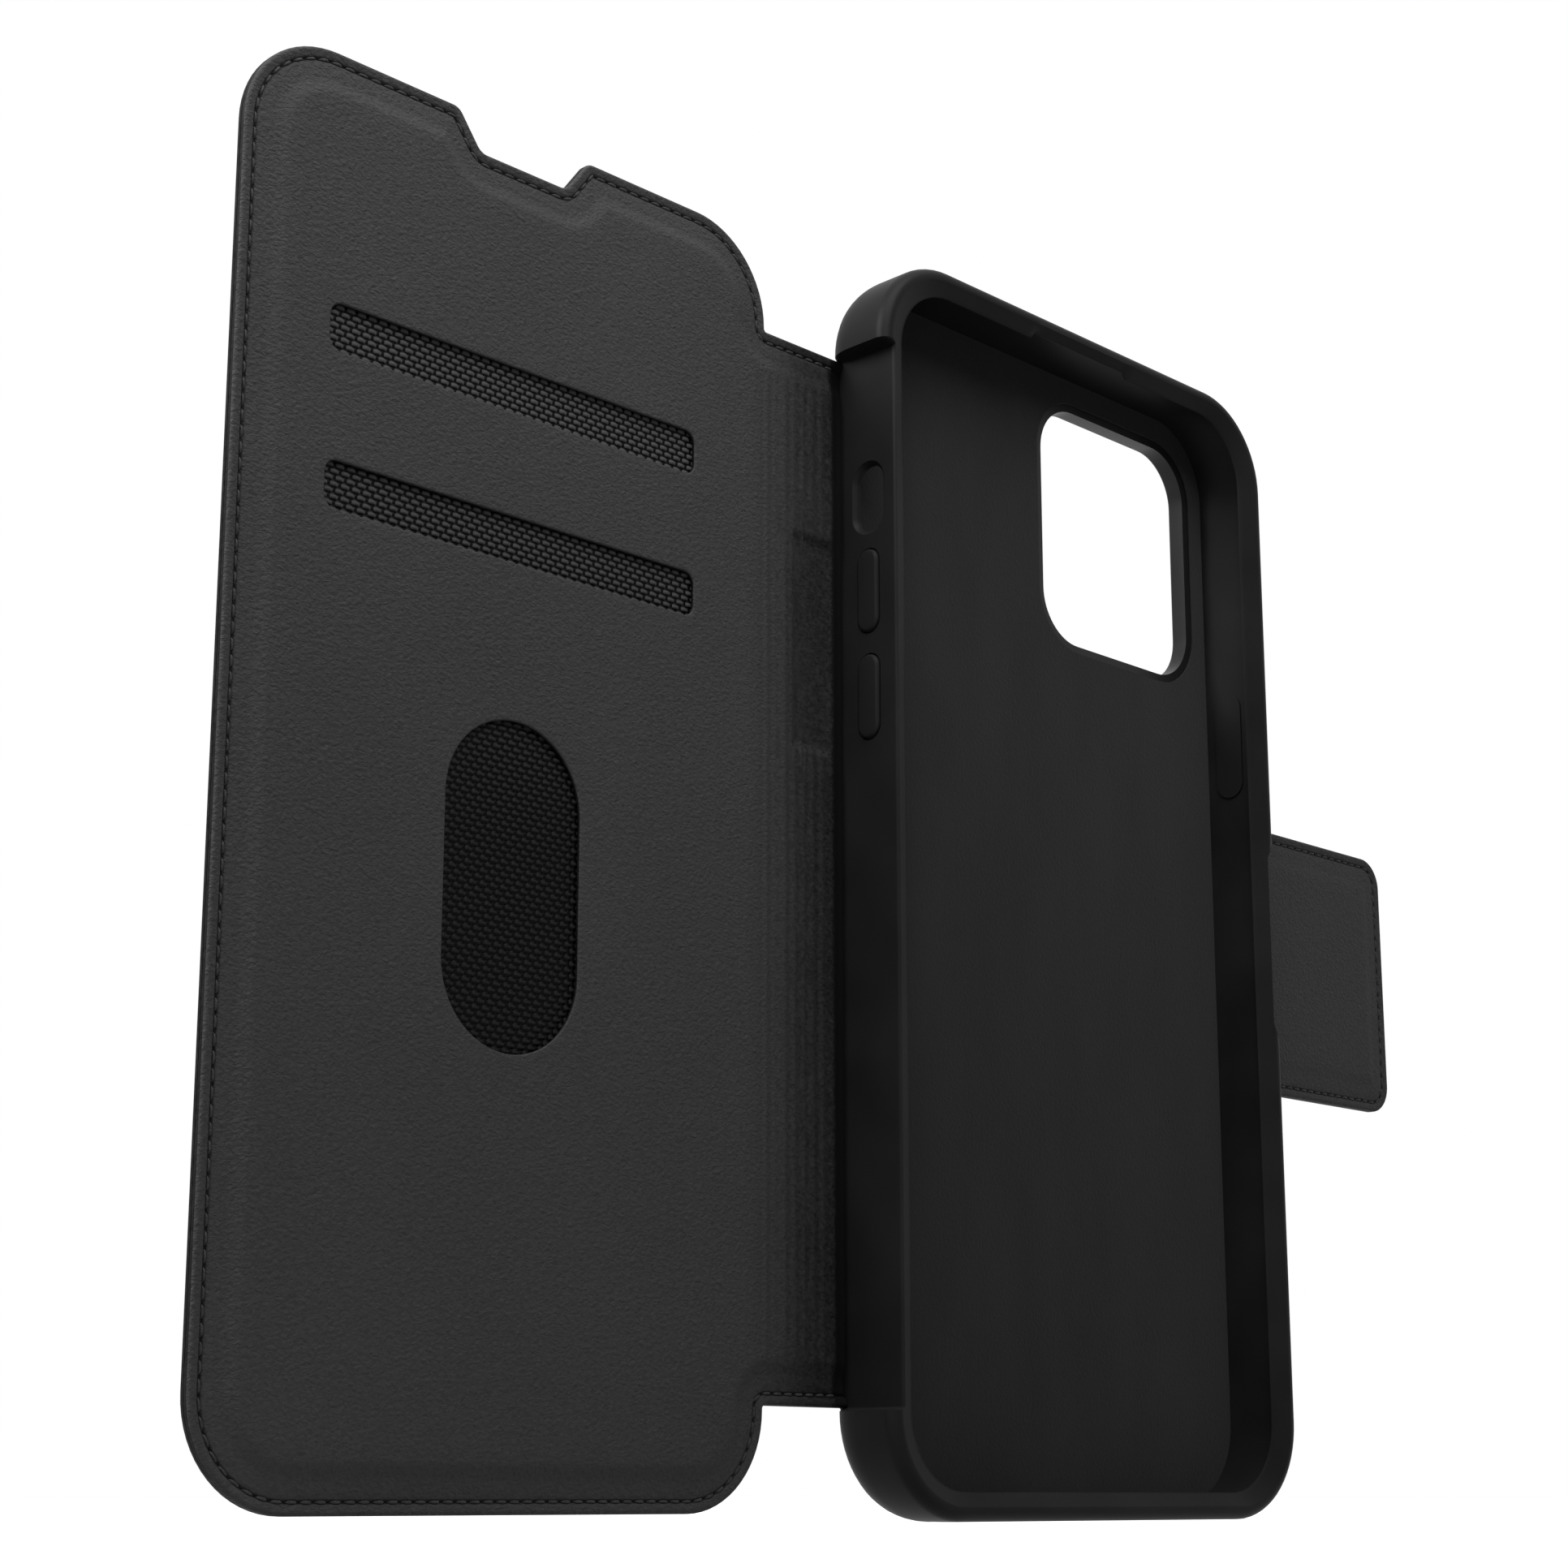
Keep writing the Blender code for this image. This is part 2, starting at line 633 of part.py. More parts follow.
def spine_relief_mesh():
    """The pocket in the spine's inner leather that clears the volume buttons when it is closed."""
    half = BUTTON_WIDTH / 2 + RELIEF_MARGIN
    middle_x = SPINE_AXIS_X + POCKET_MIDDLE - FOLD_Y
    low_x = middle_x - half
    high_x = middle_x + half
    reach = VOLUME_LENGTH / 2 + RELIEF_MARGIN
    low_z = min(VOLUME_UP_Z, VOLUME_DOWN_Z) - reach
    high_z = max(VOLUME_UP_Z, VOLUME_DOWN_Z) + reach
    floor = -SPINE_THICKNESS + RELIEF_DEPTH
    return slab("spine_relief", [rectangle(low_x, high_x, low_z, high_z)], "y", floor - CUT_REACH, floor)


def tab_outline(inset, fold):
    """The latch tab's outline, starting at the upper corner beside the strap."""
    left = TAB_AXIS_X + fold - inset
    corners = [(left, STRAP_HALF), (left, -STRAP_HALF), (TAB_FREE_X, -STRAP_HALF), (TAB_FREE_X, STRAP_HALF)]
    return outline(corners, [0, 0, TAB_CORNER, TAB_CORNER], inset)


def tab_liner_mesh():
    border = TAB_FLANGE
    middle = TAB_FLANGE + TAB_RAMP
    flange_back = -LEATHER - GLUE_GAP
    near = fold_gap(-EDGE_THICKNESS)
    far = fold_gap(-TAB_THICKNESS)
    rings = [
        ring(tab_outline(middle, far + middle), -TAB_THICKNESS + LEATHER),
        ring(tab_outline(border, far + border), flange_back),
        ring(tab_outline(0, fold_gap(flange_back)), flange_back),
        ring(tab_outline(EDGE_SKIVE, near), -EDGE_THICKNESS),
        ring(tab_outline(border, far + border), -EDGE_THICKNESS),
        ring(tab_outline(middle, far + middle), -TAB_THICKNESS),
    ]
    return loft("tab_liner", rings)


def build_shell(parts, cutters, finish):
    frame = add_part("bumper_frame", frame_mesh(), parts, finish["elastomer"])
    cut_frame(frame, cutters)
    hole = camera_outline(-FIT_GAP)
    floor = pocket_outline(FIT_GAP)
    plate_mesh = slab("back_plate", [floor, hole], "y", PLATE_FRONT, PLATE_BACK)
    lining_mesh = slab("tray_lining", [floor, hole], "y", POCKET_FLOOR, LINING_BACK)
    leather = add_part("back_leather", back_leather_mesh(), parts, finish["leather"])
    cut(leather, slab("camera_hole", [hole], "y", -LEATHER - CUT_REACH, CUT_REACH), cutters)
    return [
        frame,
        add_part("back_plate", plate_mesh, parts, finish["plastic"]),
        add_part("tray_lining", lining_mesh, parts, finish["lining"]),
        leather,
        add_part("camera_ring", ring_wall("camera_ring", camera_outline), parts, finish["plastic"]),
    ]


def build_buttons(parts, finish):
    for name, length, z, low, high in button_places():
        points = stadium(BUTTON_WIDTH, length)
        mesh = slab(name, [points], "x", low, high, BUTTON_ROUND)
        button = add_part(name, mesh, parts, finish["elastomer"])
        button.location = (0.0, POCKET_MIDDLE, z)


def build_spine(parts, cutters, finish):
    leather = panel_mesh("spine_leather", COVER_AXIS_X, SPINE_AXIS_X, SPINE_HALF, 0.0, -LEATHER)
    back = -LEATHER - GLUE_GAP
    reach = fold_gap(-SPINE_THICKNESS)
    half = SPINE_HALF - SPINE_FLANGE - 2 * STIFFENER_MARGIN
    board = rectangle(COVER_AXIS_X + reach, SPINE_AXIS_X - reach, -half, half)
    stiffener = slab("spine_stiffener", [board], "y", back - STIFFENER, back)
    liner = add_part("spine_liner", spine_liner_mesh(), parts, finish["leather"])
    cut(liner, spine_relief_mesh(), cutters)
    pieces = [
        add_part("spine_leather", leather, parts, finish["leather"]),
        add_part("spine_stiffener", stiffener, parts, finish["board"]),
        liner,
    ]
    reach = fold_gap(SEAM_Y - THREAD_RADIUS)
    for name, side in (("spine_thread_top", 1), ("spine_thread_bottom", -1)):
        z = side * (SPINE_HALF - SEAM_INSET)
        path = [(COVER_AXIS_X + reach, z), (SPINE_AXIS_X - reach, z)]
        pieces.append(add_part(name, thread(name, path, SEAM_Y), parts, finish["thread"]))
    return pieces


def build_cover(parts, cutters, finish):
    layers = cover_stack()
    liner = add_part("cover_liner", cover_liner_mesh(), parts, finish["leather"])
    back, front = layers["cover_liner"]
    for name, points in cover_windows():
        cut(liner, slab(name, [points], "y", front - CUT_REACH, back + CARD_GAP / 2), cutters)

    inner = COVER_FLANGE + COVER_RAMP + INNER_MARGIN
    low_x = COVER_FREE_X + inner
    high_x = COVER_AXIS_X - fold_gap(-EDGE_THICKNESS) - inner
    top_z = COVER_HALF - NOTCH_DEPTH - inner
    low_z = -COVER_HALF + inner
    keeper_x = low_x + KEEPER_BORDER + KEEPER_WIDTH / 2
    keeper = centred(KEEPER_WIDTH, KEEPER_HEIGHT, keeper_x)
    board_back, board_front = layers["cover_board"]
    board_corner = max(COVER_CORNER - inner, SLOT_ROUND)
    board_lines = [rounded(rectangle(low_x, high_x, low_z, top_z), board_corner)]
    board_lines.append(rounded(keeper, SLOT_ROUND, -FIT_GAP))
    board = slab("cover_board", board_lines, "y", board_front, board_back)
    keeper_mesh = slab("keeper_plate", [rounded(keeper, SLOT_ROUND)], "y", board_front, board_back)

    half = SLOT_WIDTH / 2 + CARD_MARGIN
    sheets = (("pocket_lining", UPPER_SLOT_Z), ("card_divider", LOWER_SLOT_Z))
    pieces = [
        liner,
        add_part("cover_leather", cover_leather_mesh(), parts, finish["leather"]),
        add_part("cover_board", board, parts, finish["board"]),
        add_part("keeper_plate", keeper_mesh, parts, finish["steel"]),
    ]
    for name, slot_z in sheets:
        mouth = slot_z + SLOT_HEIGHT / 2 + CARD_MARGIN
        foot = slot_z - SLOT_HEIGHT / 2 - CARD_LENGTH
        corners = rectangle(COVER_X - half, COVER_X + half, foot, mouth)
        sheet_back, sheet_front = layers[name]
        sheet = slab(name, [rounded(corners, SLOT_ROUND)], "y", sheet_front, sheet_back)
        pieces.append(add_part(name, sheet, parts, finish["fabric"]))

    seam = thread("cover_thread", cover_seam(), SEAM_Y)
    pieces.append(add_part("cover_thread", seam, parts, finish["thread"]))
    return pieces


def build_strap(parts, finish):
    leather = panel_mesh("strap_leather", STRAP_AXIS_X, TAB_AXIS_X, STRAP_HALF, 0.0, -LEATHER)
    back = -LEATHER - GLUE_GAP
    liner = panel_mesh("strap_liner", STRAP_AXIS_X, TAB_AXIS_X, STRAP_HALF, back, -EDGE_THICKNESS)
    pieces = [
        add_part("strap_leather", leather, parts, finish["leather"]),
        add_part("strap_liner", liner, parts, finish["leather"]),
    ]
    reach = fold_gap(SEAM_Y - THREAD_RADIUS)
    for name, side in (("strap_thread_top", 1), ("strap_thread_bottom", -1)):
        z = side * (STRAP_HALF - SEAM_INSET)
        path = [(STRAP_AXIS_X + reach, z), (TAB_AXIS_X - reach, z)]
        pieces.append(add_part(name, thread(name, path, SEAM_Y), parts, finish["thread"]))
    return pieces


def build_tab(parts, finish):
    outer = ring(tab_outline(EDGE_SKIVE, fold_gap(0.0)), 0.0)
    inner = ring(tab_outline(0, fold_gap(-LEATHER)), -LEATHER)
    leather = loft("tab_leather", [outer, inner])
    inset = TAB_FLANGE + TAB_RAMP + INNER_MARGIN
    low_x = TAB_AXIS_X + fold_gap(-TAB_THICKNESS) + inset
    high_x = TAB_FREE_X - inset
    half = STRAP_HALF - inset
    magnet = centred(MAGNET_WIDTH, MAGNET_HEIGHT, (low_x + high_x) / 2)
    back = -LEATHER - GLUE_GAP
    lines = [rounded(rectangle(low_x, high_x, -half, half), SLOT_ROUND)]
    lines.append(rounded(magnet, SLOT_ROUND, -FIT_GAP))
    board = slab("tab_board", lines, "y", back - BOARD, back)
    magnet_mesh = slab("tab_magnet", [rounded(magnet, SLOT_ROUND)], "y", back - BOARD, back)
    points = tab_outline(SEAM_INSET, fold_gap(SEAM_Y - THREAD_RADIUS))
    seam = thread("tab_thread", points[1:] + points[:1], SEAM_Y)
    return [
        add_part("tab_leather", leather, parts, finish["leather"]),
        add_part("tab_board", board, parts, finish["board"]),
        add_part("tab_magnet", magnet_mesh, parts, finish["steel"]),
        add_part("tab_liner", tab_liner_mesh(), parts, finish["leather"]),
        add_part("tab_thread", seam, parts, finish["thread"]),
    ]


def hang(name, x, pieces, parts, parent=None):
    """An empty on the fold's axis that carries the pieces which swing about it."""
    axis = bpy.data.objects.new(name, None)
    axis.empty_display_size = SPINE_WIDTH
    parts.objects.link(axis)
    axis.location = (x, FOLD_Y, 0.0)
    if parent:
        axis.parent = parent
        axis.matrix_parent_inverse = parent.matrix_world.inverted()
    bpy.context.view_layer.update()
    for piece in pieces:
        piece.parent = axis
        piece.matrix_parent_inverse = axis.matrix_world.inverted()
    return axis


def main():
    clear_scene()
    parts = new_collection("phone_wallet_case")
    cutters = new_collection("cutters")
    finish = {
        "elastomer": new_material("moulded_elastomer", (0.010, 0.010, 0.010), 0.55),
        "plastic": new_material("hard_plastic", (0.012, 0.012, 0.012), 0.40),
        "lining": new_material("microfibre_lining", (0.018, 0.018, 0.019), 0.95),
        "leather": new_material("black_leather", (0.030, 0.030, 0.030), 0.60),
        "board": new_material("fibre_board", (0.060, 0.055, 0.050), 0.85),
        "fabric": new_material("woven_pocket_fabric", (0.012, 0.012, 0.012), 0.80),
        "thread": new_material("sewing_thread", (0.015, 0.015, 0.015), 0.70),
        "steel": new_material("plated_steel", (0.550, 0.550, 0.560), 0.30, 1.0),
    }
    build_shell(parts, cutters, finish)
    build_buttons(parts, finish)
    spine_axis = hang("spine_axis", SPINE_AXIS_X, build_spine(parts, cutters, finish), parts)
    hang("cover_axis", COVER_AXIS_X, build_cover(parts, cutters, finish), parts, spine_axis)
    strap_axis = hang("strap_axis", STRAP_AXIS_X, build_strap(parts, finish), parts)
    hang("tab_axis", TAB_AXIS_X, build_tab(parts, finish), parts, strap_axis)
    for name in ("bumper_frame", "camera_ring", "cover_thread", "tab_thread"):
        mesh = bpy.data.objects[name].data
        mesh.shade_smooth()
        mesh.set_sharp_from_angle(angle=math.radians(SMOOTH_ANGLE))


main()
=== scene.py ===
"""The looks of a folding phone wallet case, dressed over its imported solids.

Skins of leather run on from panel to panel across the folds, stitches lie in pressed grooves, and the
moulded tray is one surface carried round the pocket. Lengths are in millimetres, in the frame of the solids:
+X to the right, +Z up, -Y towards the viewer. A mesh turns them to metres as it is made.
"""

import json
import math

import bpy
import numpy as np
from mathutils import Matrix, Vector
from mathutils.geometry import delaunay_2d_cdt


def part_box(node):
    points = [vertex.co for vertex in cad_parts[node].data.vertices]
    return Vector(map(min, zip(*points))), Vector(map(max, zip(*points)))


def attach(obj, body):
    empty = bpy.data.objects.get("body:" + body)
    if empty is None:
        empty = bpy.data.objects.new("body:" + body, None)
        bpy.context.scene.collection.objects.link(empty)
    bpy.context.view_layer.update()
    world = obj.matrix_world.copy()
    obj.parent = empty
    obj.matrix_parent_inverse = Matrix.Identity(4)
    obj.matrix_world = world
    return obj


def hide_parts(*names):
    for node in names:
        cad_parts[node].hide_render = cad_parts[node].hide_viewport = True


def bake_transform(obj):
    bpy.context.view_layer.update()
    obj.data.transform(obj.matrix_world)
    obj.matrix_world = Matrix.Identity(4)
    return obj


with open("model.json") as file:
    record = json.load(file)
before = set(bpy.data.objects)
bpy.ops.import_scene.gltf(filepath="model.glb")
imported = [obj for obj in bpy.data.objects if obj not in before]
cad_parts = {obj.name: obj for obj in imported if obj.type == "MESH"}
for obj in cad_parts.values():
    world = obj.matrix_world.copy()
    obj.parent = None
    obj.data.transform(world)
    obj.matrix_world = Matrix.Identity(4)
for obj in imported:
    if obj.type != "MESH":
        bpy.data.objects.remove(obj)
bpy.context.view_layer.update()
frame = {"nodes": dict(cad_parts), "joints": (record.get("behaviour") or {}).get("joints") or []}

MM = 0.001


def node_box(name):
    """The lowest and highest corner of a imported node, in millimetres."""
    low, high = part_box(name)
    return np.array(low) / MM, np.array(high) / MM


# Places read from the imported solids
HINGES = [joint for joint in frame["joints"] if joint["type"] == "hinge"]
FOLD_X = {hinge["name"]: hinge["pos_m"][0] / MM for hinge in HINGES}
SPINE_FOLD = FOLD_X["spine_fold"]
COVER_FOLD = FOLD_X["cover_fold"]
STRAP_FOLD = FOLD_X["strap_fold"]
TAB_FOLD = FOLD_X["tab_fold"]
SHELL_LOW, SHELL_HIGH = node_box("bumper_frame")
SHELL_X, SHELL_Z = SHELL_HIGH[0], SHELL_HIGH[2]
SHELL_FRONT, SHELL_BACK = SHELL_LOW[1], SHELL_HIGH[1]
COVER_FREE, COVER_Z = node_box("cover_leather")[0][0], node_box("cover_leather")[1][2]
COVER_BULGE = node_box("cover_leather")[1][1]
SPINE_Z = node_box("spine_leather")[1][2]
STRAP_Z = node_box("strap_leather")[1][2]
TAB_FREE = node_box("tab_leather")[1][0]
LINING_FRONT, LINING_BACK = node_box("tray_lining")[0][1], node_box("tray_lining")[1][1]
SPINE_MIDDLE = (COVER_FOLD + SPINE_FOLD) / 2
STRAP_MIDDLE = (STRAP_FOLD + TAB_FOLD) / 2

# Leather skins: edges, stitch groove, ramps and the wall of a cut, with ramps between panels from a fold
LEATHER = 0.75
SKIN = 0.35
EDGE_ROUND = 0.42
SEAM_INSET = 1.45
GROOVE_HALF = 0.36
GROOVE_DEPTH = 0.24
SEAM_DISH = 0.18
INNER_LEVEL = -1.60
INNER_LIMIT = -0.80
OUTER_LEVEL = 0.0
RAMP_START, RAMP_END = 3.4, 5.8
EDGE_FLAT, SEAM_SLOPE = (0.6, 0.9), (2.2, 2.6, 3.0)
COVER_RISE, SPINE_RISE, TAB_RISE = 0.60, 0.40, 0.25
INNER_RAMP, OUTER_RAMP, STRAP_RAMP = (-4.0, 2.0), (-10.0, -3.0), (0.0, 6.0)
WINDOW_RIM = 0.80
WINDOW_ROUND = 0.2
WINDOW_WALL = 0.5

# Outlines of the leather
COVER_CORNER = 12.3
SPINE_SIDE_CORNER = 12.2
CREASE_CORNER = 0.4
NOTCH_MOUTH, NOTCH_FLOOR, NOTCH_DEPTH, NOTCH_ROUND = 20.3, 13.3, 4.7, 1.8
TAB_CORNER = 4.5
BACK_BORDER = 2.4
BACK_CORNER = 10.95
STRAP_ROOT = 1.0
SLOT_WIDTH, SLOT_HEIGHT, SLOT_CORNER = 56.0, 5.7, 1.6
SLOT_Z = (48.3, 29.7)
THUMB_WIDTH, THUMB_HEIGHT, THUMB_Z = 20.0, 38.9, -11.7
# Notch and windows lie a little left of the cover's middle
WINDOW_SHIFT = -0.5
COVER_X = (COVER_FOLD + COVER_FREE) / 2 + WINDOW_SHIFT

# Spine: ribs, the pressed hollow over the volume keys and the valley at the tray
RIB_PITCH, RIB_HEIGHT = 1.7, 0.08
RIB_FADE, RIB_MARGIN = 2.0, 1.0
HOLLOW_X, HOLLOW_Z = (-50.7, -42.0), (13.3, 43.2)
HOLLOW_DEPTH, HOLLOW_EDGE = 0.52, 1.5
WALL_END = -40.30
VALLEY_START, VALLEY_END, VALLEY_DEPTH = -43.4, -40.9, 0.80
# How dark the valley at the wall is painted at its deepest, a painted shade
VALLEY_PAINTED_SHADE = 0.6
STRAP_END = 39.9
SPINE_SEAM, STRAP_SEAM = SPINE_FOLD + 1.05, STRAP_FOLD - 1.5
BEND_REACH = 0.9
HINGE_LEAD = 4.0
RUN_ON, BACK_RUN_ON, RUN_ON_CORNER = 20.0, 3.0, 1.0

# Stitches
STITCH_PITCH, STITCH_LENGTH, STITCH_RADIUS = 1.85, 1.45, 0.18
STITCH_DIP, STITCH_SINK = 0.18, 0.05
STITCH_TIP, STITCH_TAPER, STITCH_FLAT = 0.98, 0.35, 0.85
STITCH_ROWS, STITCH_SIDES = 7, 8
COVER_SEAM_END, FOLD_SEAM_END = 3.0, 0.6

# Tray
SHELL_CORNER = 13.35
POCKET_X, POCKET_Z, POCKET_CORNER = 39.1, 80.65, 11.0
BACK_ROUND, BACK_FADE = 1.95, 4.0
FRONT_ROUND, FRONT_FADE, RIDGE_FLAT = 1.4, 1.7, 0.4
LIP_OVERLAP, LIP_EDGE, LIP_BACK, LIP_TURN = 1.3, 0.15, -10.0, 0.6
LIP_ROWS = (0.04, 0.25, 0.5, 0.75, 0.97)
RECESS_DEPTH, RECESS_ROUND, RECESS_MEET = 2.3, 0.9, 42.5
RECESS_Z, RECESS_STEP = 69.62, 0.45
RECESS_MARKS = (0.0, 0.2, 0.4, 0.6, 0.8, 1.0, 1.6)
LATCH_Z, LATCH_SLOPE, LATCH_DEPTH = 12.4, 3.6, 2.15
EAR_X, EAR_SLOPE, EAR_DEPTH = 10.0, 0.7, 0.9
KEY_Y = -6.025
MUTE_WIDTH, MUTE_HEIGHT, MUTE_Z, MUTE_CHAMFER = 4.7, 9.2, 48.9, 0.5
MUTE_OUTSET, MUTE_SUNK, MUTE_PROUD = (0.0, 0.0, 0.06, 0.94, 1.0, 1.0), (1.1, 0.9, 0.06), 0.02
KEY_WIDTH, KEY_ROUND, KEY_GAP = 3.6, 0.45, 0.2
KEY_SHOULDER, CROWN_INSET, CROWN_DROP = 0.06, (0.8, 1.2, 1.6), (0.035, 0.015, 0.0)
PAD_RIM, PAD_GAP, PAD_THICK = 0.5, 0.05, 0.2
PORT_WIDTH, PORT_DEPTH = 13.0, 5.6
SPEAKER_WIDTH, SPEAKER_DEPTH, SPEAKER_X = 15.0, 3.2, 22.0
CUT_REACH = 4.0
CAMERA_X, CAMERA_Z, CAMERA_WIDTH, CAMERA_HEIGHT, CAMERA_CORNER = 18.0, 58.0, 37.0, 39.0, 9.0
CAMERA_RING, CAMERA_ROUND, CAMERA_GAP = 1.6, 0.5, 0.15
LINING_LAP, LINING_TUCK = 0.4, 0.08

# Woven pocket fabric
THREAD_PITCH, THREAD_RELIEF, THREAD_ROUND = 0.75, 0.38, 6.0
THREAD_SAMPLES = 6
# WARP_SHADE paints the warp floats darker, a painted shade
THREAD_BROAD, WEFT_LEAD, WARP_SHADE = 0.6, 1.3, 0.25
# Painted light falloff on the weave: from its least share at the low place in Z to full at the high place
PAINTED_FALLOFF_LOW, PAINTED_FALLOFF_HIGH, PAINTED_FALLOFF_LEAST = -10.0, 50.0, 0.47
FABRIC_FRONT, FABRIC_THICK = -1.66, 0.45
WEAVE_MARGIN, WEAVE_COARSE, LINING_DIP = 1.0, 3.0, (6.0, 2.0)

# Light: the surround's level, the floor's glow to the camera near and far, and lamps as name, place, size
# and power. These lengths are in metres, and the floor's reach is in millimetres.
AMBIENT = 0.08
FLOOR_GLOW, FLOOR_NEAR, FLOOR_FAR = 0.86, 0.20, 0.60
LAMPS = (("key", (-0.10, -0.16, 0.28), 0.26, 1.40), ("rim", (-0.48, 0.07, 0.36), 0.35, 5.8))
FLOOR_REACH = 3000.0

# View: the photograph's lens, its shift, and the camera's place in metres and turn in degrees
VIEW_LENS, VIEW_SENSOR, VIEW_SHIFT, VIEW_NEAREST = 63.44, 36.0, 0.0688, 0.01
VIEW_PLACE, VIEW_TURN = (-0.2928, -0.2415, -0.0797), (102.31, 0.0, -45.17)

# Sampling of curves and fills
PATH_SPACING = 1.2
BEND_SPACING, BEND_COLUMNS, BEND_ROWS = 0.3, 0.25, 1.0
BEND_MARGIN, BEND_CLEAR = 0.5, 0.1
ARC_STEPS = 16
QUARTER = np.radians(np.linspace(0, 90, 6))
LEAST_RADIUS = 0.02
FILL_SPACING = 4.0
LOOP_CLEAR, HOLE_CLEAR, LINE_CLEAR, LINING_CLEAR = 0.15, 0.3, 0.12, 1.0
COVER_FILL_END, OUTER_FILL_START = 7.0, 6.0
RIB_COLUMNS, OUTER_COLUMNS, LATCH_COLUMNS = 0.28, 0.6, 1.5
SPINE_REACH, SPINE_ROWS = 66.0, 3.0
HOLLOW_ROWS = np.arange(-0.3, 1.7, 0.3)
HAIR = 1e-6
SMOOTH_ANGLE = math.radians(35)


def smooth(share):
    """An S curve from 0 to 1 as share goes from 0 to 1."""
    share = np.clip(share, 0.0, 1.0)
    return share * share * (3 - 2 * share)


class Track:
    """A closed path round a polygon, counter-clockwise to the viewer, whose corners are arcs.

    Its ring at an inset has every edge moved inwards by that much. A convex arc's radius shrinks with the
    inset and a hollow one's grows, so all its rings match point for point. A corner with no turn is a mark.
    """

    def __init__(self, corners, radii, spacing=PATH_SPACING, counts=None):
        self.corners = np.array(corners, float)
        self.radii = np.broadcast_to(np.array(radii, float), len(self.corners))
        edges = np.roll(self.corners, -1, 0) - self.corners
        lengths = np.linalg.norm(edges, axis=1)
        self.leaving = edges / lengths[:, None]
        self.arriving = np.roll(self.leaving, 1, 0)
        cross = self.arriving[:, 0] * self.leaving[:, 1] - self.arriving[:, 1] * self.leaving[:, 0]
        turn = np.arctan2(cross, (self.arriving * self.leaving).sum(1))
        self.turn = np.where(np.abs(turn) < HAIR, 0.0, turn)
        tangents = self.radii * np.tan(np.abs(self.turn) / 2)
        straights = lengths - tangents - np.roll(tangents, -1)
        found = np.maximum(1, np.round(straights / spacing)).astype(int)
        self.counts = found if counts is None else counts
        self.steps = 2 * np.ceil(np.abs(self.turn) / math.pi * ARC_STEPS).astype(int)

    def ring(self, inset=0.0):
        left = np.stack([-self.leaving[:, 1], self.leaving[:, 0]], 1)
        before = np.roll(left, 1, 0)
        moved = self.corners + (left + before) * (inset / (1 + (left * before).sum(1)))[:, None]
        side = np.sign(self.turn)
        radii = np.maximum(self.radii - side * inset, LEAST_RADIUS)
        starts = moved - self.arriving * (radii * np.tan(np.abs(self.turn) / 2))[:, None]
        centres = starts + before * (radii * side)[:, None]
        arcs = []
        for start, centre, turn, steps in zip(starts, centres, self.turn, self.steps):
            angle = np.linspace(0.0, turn, steps + 1)[:, None]
            spoke = start - centre
            across = np.array([-spoke[1], spoke[0]])
            arcs.append(centre + np.cos(angle) * spoke + np.sin(angle) * across)
        stretches = []
        for arc, following, count in zip(arcs, arcs[1:] + arcs[:1], self.counts):
            share = np.arange(1, count)[:, None] / count
            stretches += [arc, arc[-1] + (following[0] - arc[-1]) * share]
        return np.concatenate(stretches)

    def rings(self, insets):
        return np.stack([self.ring(inset) for inset in insets])

    def mark(self, corner):
        """The place in a ring of the middle of a corner's arc."""
        return int((self.steps[:corner] + self.counts[:corner]).sum() + self.steps[corner] // 2)


def box_corners(half_u, half_v, at_u=0.0, at_v=0.0):
    low_u, high_u, low_v, high_v = at_u - half_u, at_u + half_u, at_v - half_v, at_v + half_v
    return [(low_u, low_v), (high_u, low_v), (high_u, high_v), (low_u, high_v)]


def stadium(width, height, at_u=0.0, at_v=0.0):
    """A path with half-round ends, less a hair so that its arcs don't meet."""
    radius = min(width, height) / 2 - LEAST_RADIUS
    return Track(box_corners(width / 2, height / 2, at_u, at_v), radius)


def grid_faces(rows, columns, close_rows=False, close_columns=True):
    """Quads of a grid numbered row by row, joined end to end along each closed direction."""
    low = np.arange(rows if close_rows else rows - 1)[:, None]
    left = np.arange(columns if close_columns else columns - 1)[None, :]
    high, right = (low + 1) % rows, (left + 1) % columns
    quads = [low * columns + left, low * columns + right, high * columns + right, high * columns + left]
    return np.stack(np.broadcast_arrays(*quads), -1)


def caps(rows, columns):
    """The two end faces of a grid whose rows are closed rings."""
    return [list(range(columns))[::-1], list(range((rows - 1) * columns, rows * columns))]


def inside(points, loop):
    """Which points a loop holds: those to whose right the loop crosses an odd number of times."""
    x, z = points[:, 0, None], points[:, 1, None]
    first, second = loop, np.roll(loop, -1, 0)
    spans = (first[:, 1] > z) != (second[:, 1] > z)
    rise = np.where(second[:, 1] == first[:, 1], 1.0, second[:, 1] - first[:, 1])
    crossing = first[:, 0] + (z - first[:, 1]) / rise * (second[:, 0] - first[:, 0])
    return (spans & (x < crossing)).sum(1) % 2 == 1


def distance(points, loop):
    """How far each point is from the nearest stretch of a loop."""
    along = np.roll(loop, -1, 0) - loop
    reach = np.maximum((along * along).sum(1), 1e-12)
    share = np.clip(((points[:, None] - loop) * along).sum(2) / reach, 0, 1)
    return np.linalg.norm(points[:, None] - loop - share[..., None] * along, axis=2).min(1)


def well_inside(spots, loop, holes, loop_gap, hole_gap):
    """Which spots lie inside a loop and outside its holes, with a gap to each."""
    clear = inside(spots, loop) & (distance(spots, loop) > loop_gap)
    for hole in holes:
        clear &= ~inside(spots, hole) & (distance(spots, hole) > hole_gap)
    return clear


def lattice(xs, zs):
    return np.stack(np.meshgrid(xs, zs), -1).reshape(-1, 2)


